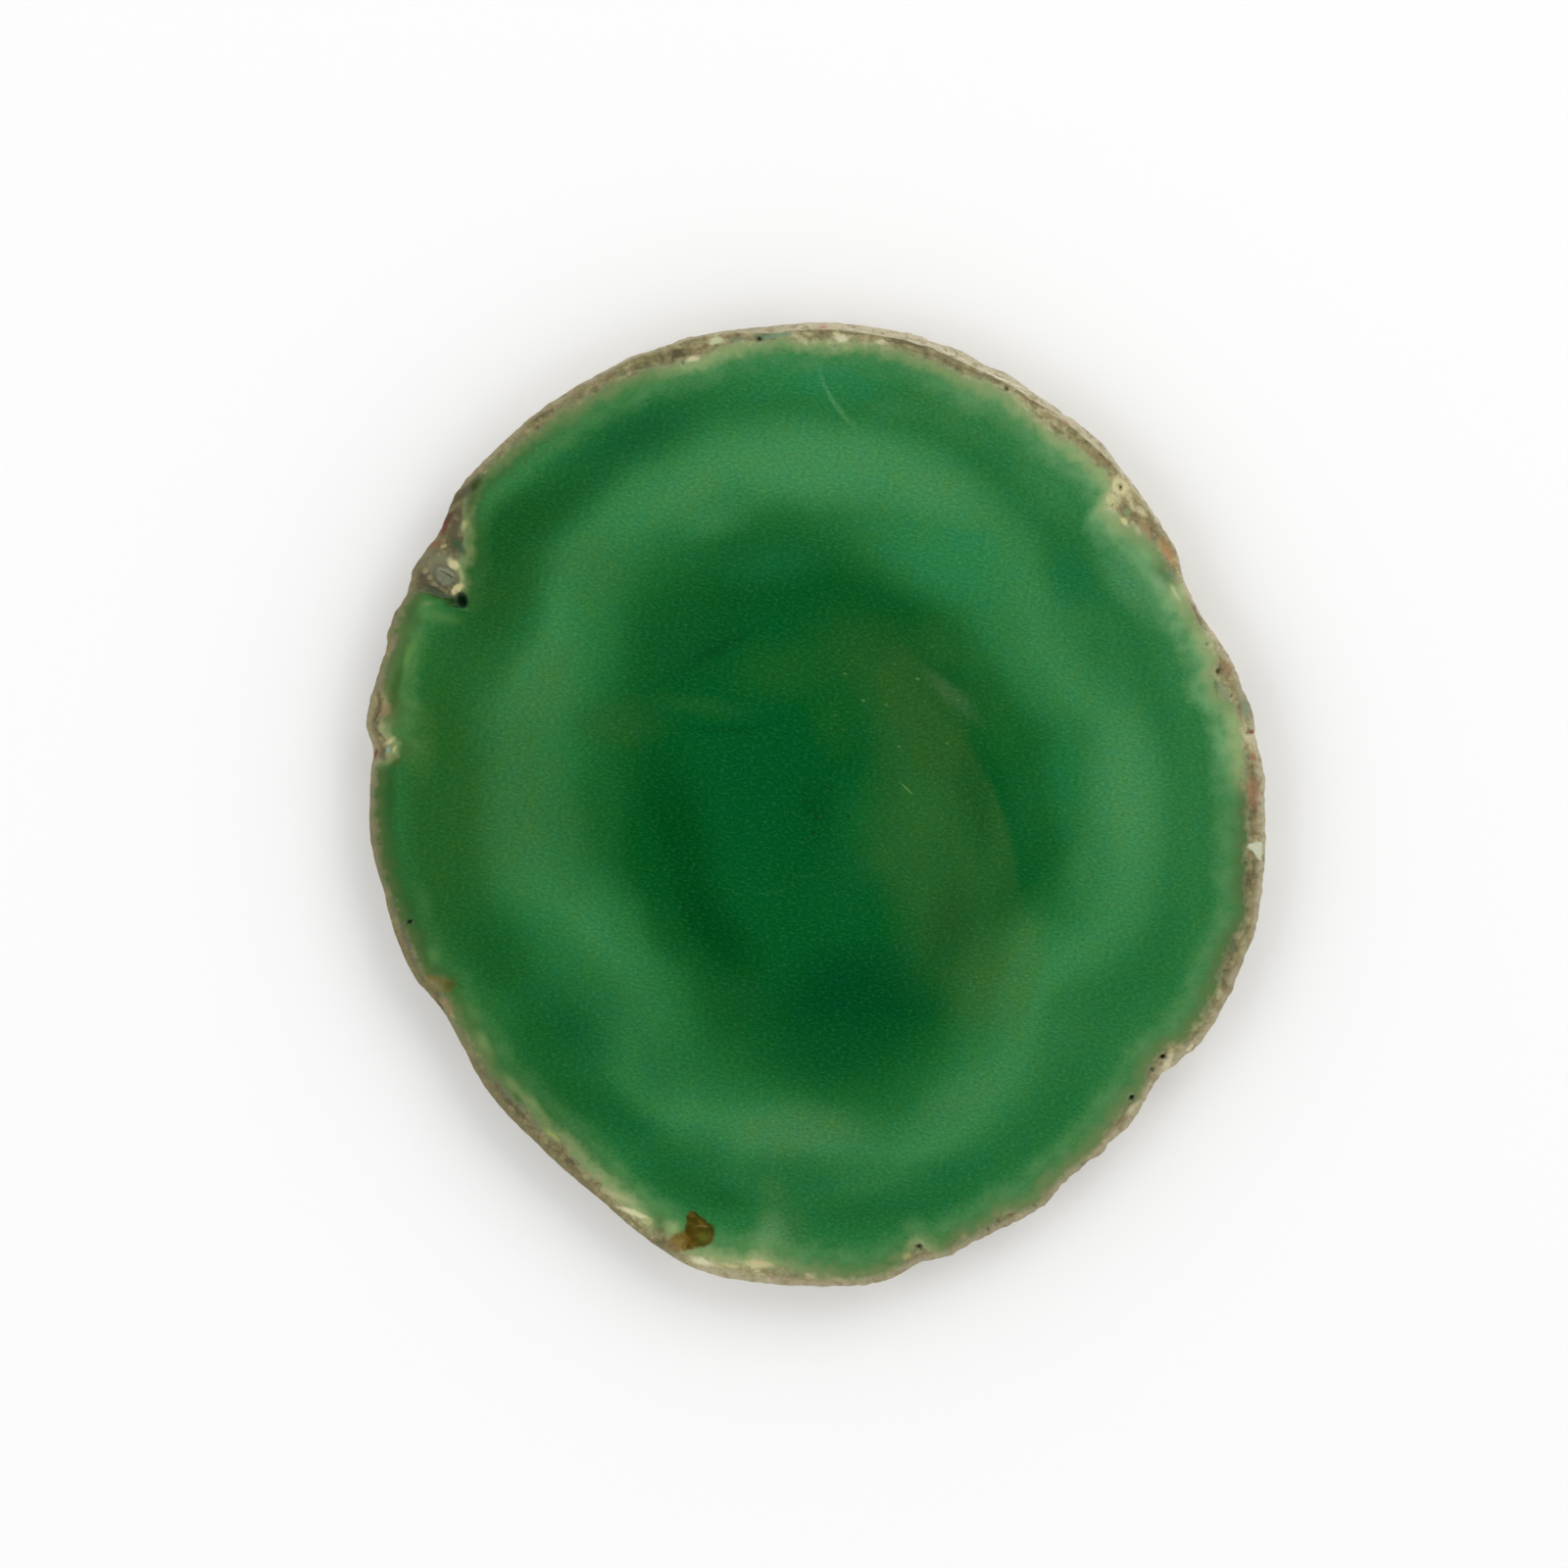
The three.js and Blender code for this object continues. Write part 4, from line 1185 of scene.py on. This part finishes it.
# %% Painted shade in the pits and dimples
PIT_CONTRAST = 1.6  # the painted shade is raised to this power, so that a pit's rim stays light
HOLE_GREEN = 1.4  # mm from its middle that the deep hole's green reaches
painted_pit_shade = attribute("hollow")
in_deep_hole = spot(POCKET[0][:2], (HOLE_GREEN, HOLE_GREEN), 0, 0.4, where=place)
# the colour of the painted shade; in the deep hole it is the stone's green
pit_colour = mix(in_deep_hole, painted(14, 24, 15), painted(16, 76, 48))
surface = mix(math_node("POWER", painted_pit_shade, PIT_CONTRAST), surface, pit_colour)
print("the deep hole is", POCKET[0][4], "mm deep")

# %% [markdown]
# ## Polish and bump
#
# The polished face is smooth and glossy and the skin is matt, so one mask drives the roughness. A bump
# map adds the crumbs that are too small for the mesh, and only on the skin.

# %% Finish the shader
POLISHED, SKIN_MATT = 0.12, 0.8
CRUMB_BUMP = 0.2 * MM
CHALCEDONY_IOR = 1.54
matt = math_node("MAXIMUM", skin_mask, rise(painted_pit_shade, 0.0, 0.1))
roughness = multiply_add(matt, SKIN_MATT - POLISHED, POLISHED)
crumbs = noise_at(place, 0.3, detail=3.0, roughness=0.6)
bump = add("Bump", {"Strength": skin_mask, "Distance": CRUMB_BUMP, "Height": crumbs})
tree.links.new(surface, shader.inputs["Base Color"])
tree.links.new(roughness, shader.inputs["Roughness"])
tree.links.new(bump.outputs["Normal"], shader.inputs["Normal"])
shader.inputs["IOR"].default_value = CHALCEDONY_IOR
agate_stone.data.materials.append(agate)
print(len(tree.nodes), "nodes in the material")

# %% [markdown]
# ## Floor, light and camera
#
# The slice lies on a plain white table. The light is soft and comes from the sides, mostly from the upper
# right, and the sky straight above is dark: a polished face seen from above mirrors what is over it, and
# a dark sky leaves its own colours deep.

# %% Floor
FLOOR_HALF = 3.0  # metres
FLOOR_GAP = 0.01 * MM  # keeps the floor and the back face from flickering into each other
TABLE_WHITE, TABLE_ROUGHNESS = 0.93, 0.9
floor_mesh = bpy.data.meshes.new("floor")
sheet = bmesh.new()
bmesh.ops.create_grid(sheet, x_segments=1, y_segments=1, size=FLOOR_HALF)
bmesh.ops.translate(sheet, verts=sheet.verts, vec=(0, 0, cad_low.z - FLOOR_GAP))
sheet.to_mesh(floor_mesh)
sheet.free()
floor = bpy.data.objects.new("floor", floor_mesh)
bpy.context.collection.objects.link(floor)
table = bpy.data.materials.new("table")
table.use_nodes = True
table_shader = table.node_tree.nodes["Principled BSDF"]
table_shader.inputs["Base Color"].default_value = (TABLE_WHITE, TABLE_WHITE, TABLE_WHITE, 1)
table_shader.inputs["Roughness"].default_value = TABLE_ROUGHNESS
floor_mesh.materials.append(table)
print("floor:", 2 * FLOOR_HALF, "m wide")


# %% Lights
def soft_light(name, direction, elevation, distance, size, watts):
    """A square soft box that faces the stone from a direction and elevation in degrees."""
    lamp = bpy.data.lights.new(name, "AREA")
    lamp.size, lamp.energy = size, watts
    holder = bpy.data.objects.new(name, lamp)
    across = math.cos(math.radians(elevation)) * distance
    holder.location = (across * math.cos(math.radians(direction)), across * math.sin(math.radians(direction)),
                       distance * math.sin(math.radians(elevation)))
    holder.rotation_euler = holder.location.to_track_quat("Z", "Y").to_euler()
    bpy.context.collection.objects.link(holder)


soft_light("key", direction=50, elevation=45, distance=0.9, size=0.6, watts=1.8)
soft_light("fill", direction=200, elevation=45, distance=0.9, size=0.6, watts=0.95)

# %% Sky
SKY_STRENGTH = 1.05
DARK_FROM, DARK_ABOVE = 0.84, 0.95  # height in a dome of radius 1 where the sky starts to darken, and is dark

world = bpy.data.worlds.new("studio")
bpy.context.scene.world = world
world.use_nodes = True
sky = world.node_tree
upwards = sky.nodes.new("ShaderNodeSeparateXYZ")
shade = sky.nodes.new("ShaderNodeMapRange")
sky.links.new(sky.nodes.new("ShaderNodeTexCoord").outputs["Generated"], upwards.inputs[0])
sky.links.new(upwards.outputs["Z"], shade.inputs["Value"])
shade.interpolation_type = "SMOOTHSTEP"
shade.inputs["From Min"].default_value, shade.inputs["From Max"].default_value = DARK_FROM, DARK_ABOVE
shade.inputs["To Min"].default_value, shade.inputs["To Max"].default_value = SKY_STRENGTH, 0.0
sky.nodes["Background"].inputs["Color"].default_value = (1, 1, 1, 1)
sky.links.new(shade.outputs[0], sky.nodes["Background"].inputs["Strength"])
print("the sky is dark within", round(math.degrees(math.acos(DARK_ABOVE))), "degrees of straight up")

# %% Camera
FACE_TO_CAMERA = 350 * MM
SENSOR = 36.0  # mm
NEAREST_SEEN = 10 * MM
SEEN = 128.0  # mm of the face across the picture
AIM_X, AIM_Y = -2.64, 1.64  # the middle of the picture, mm from the growth centre

lens = bpy.data.cameras.new("camera")
lens.sensor_width = SENSOR
lens.lens = SENSOR * FACE_TO_CAMERA / (SEEN * MM)
lens.clip_start = NEAREST_SEEN
camera = bpy.data.objects.new("camera", lens)
camera.location = to_metres(AIM_X, AIM_Y, THICKNESS) + Vector((0, 0, FACE_TO_CAMERA))
bpy.context.collection.objects.link(camera)
bpy.context.scene.camera = camera
bpy.context.scene.view_settings.view_transform = "Standard"
print("lens:", round(lens.lens, 2), "mm")
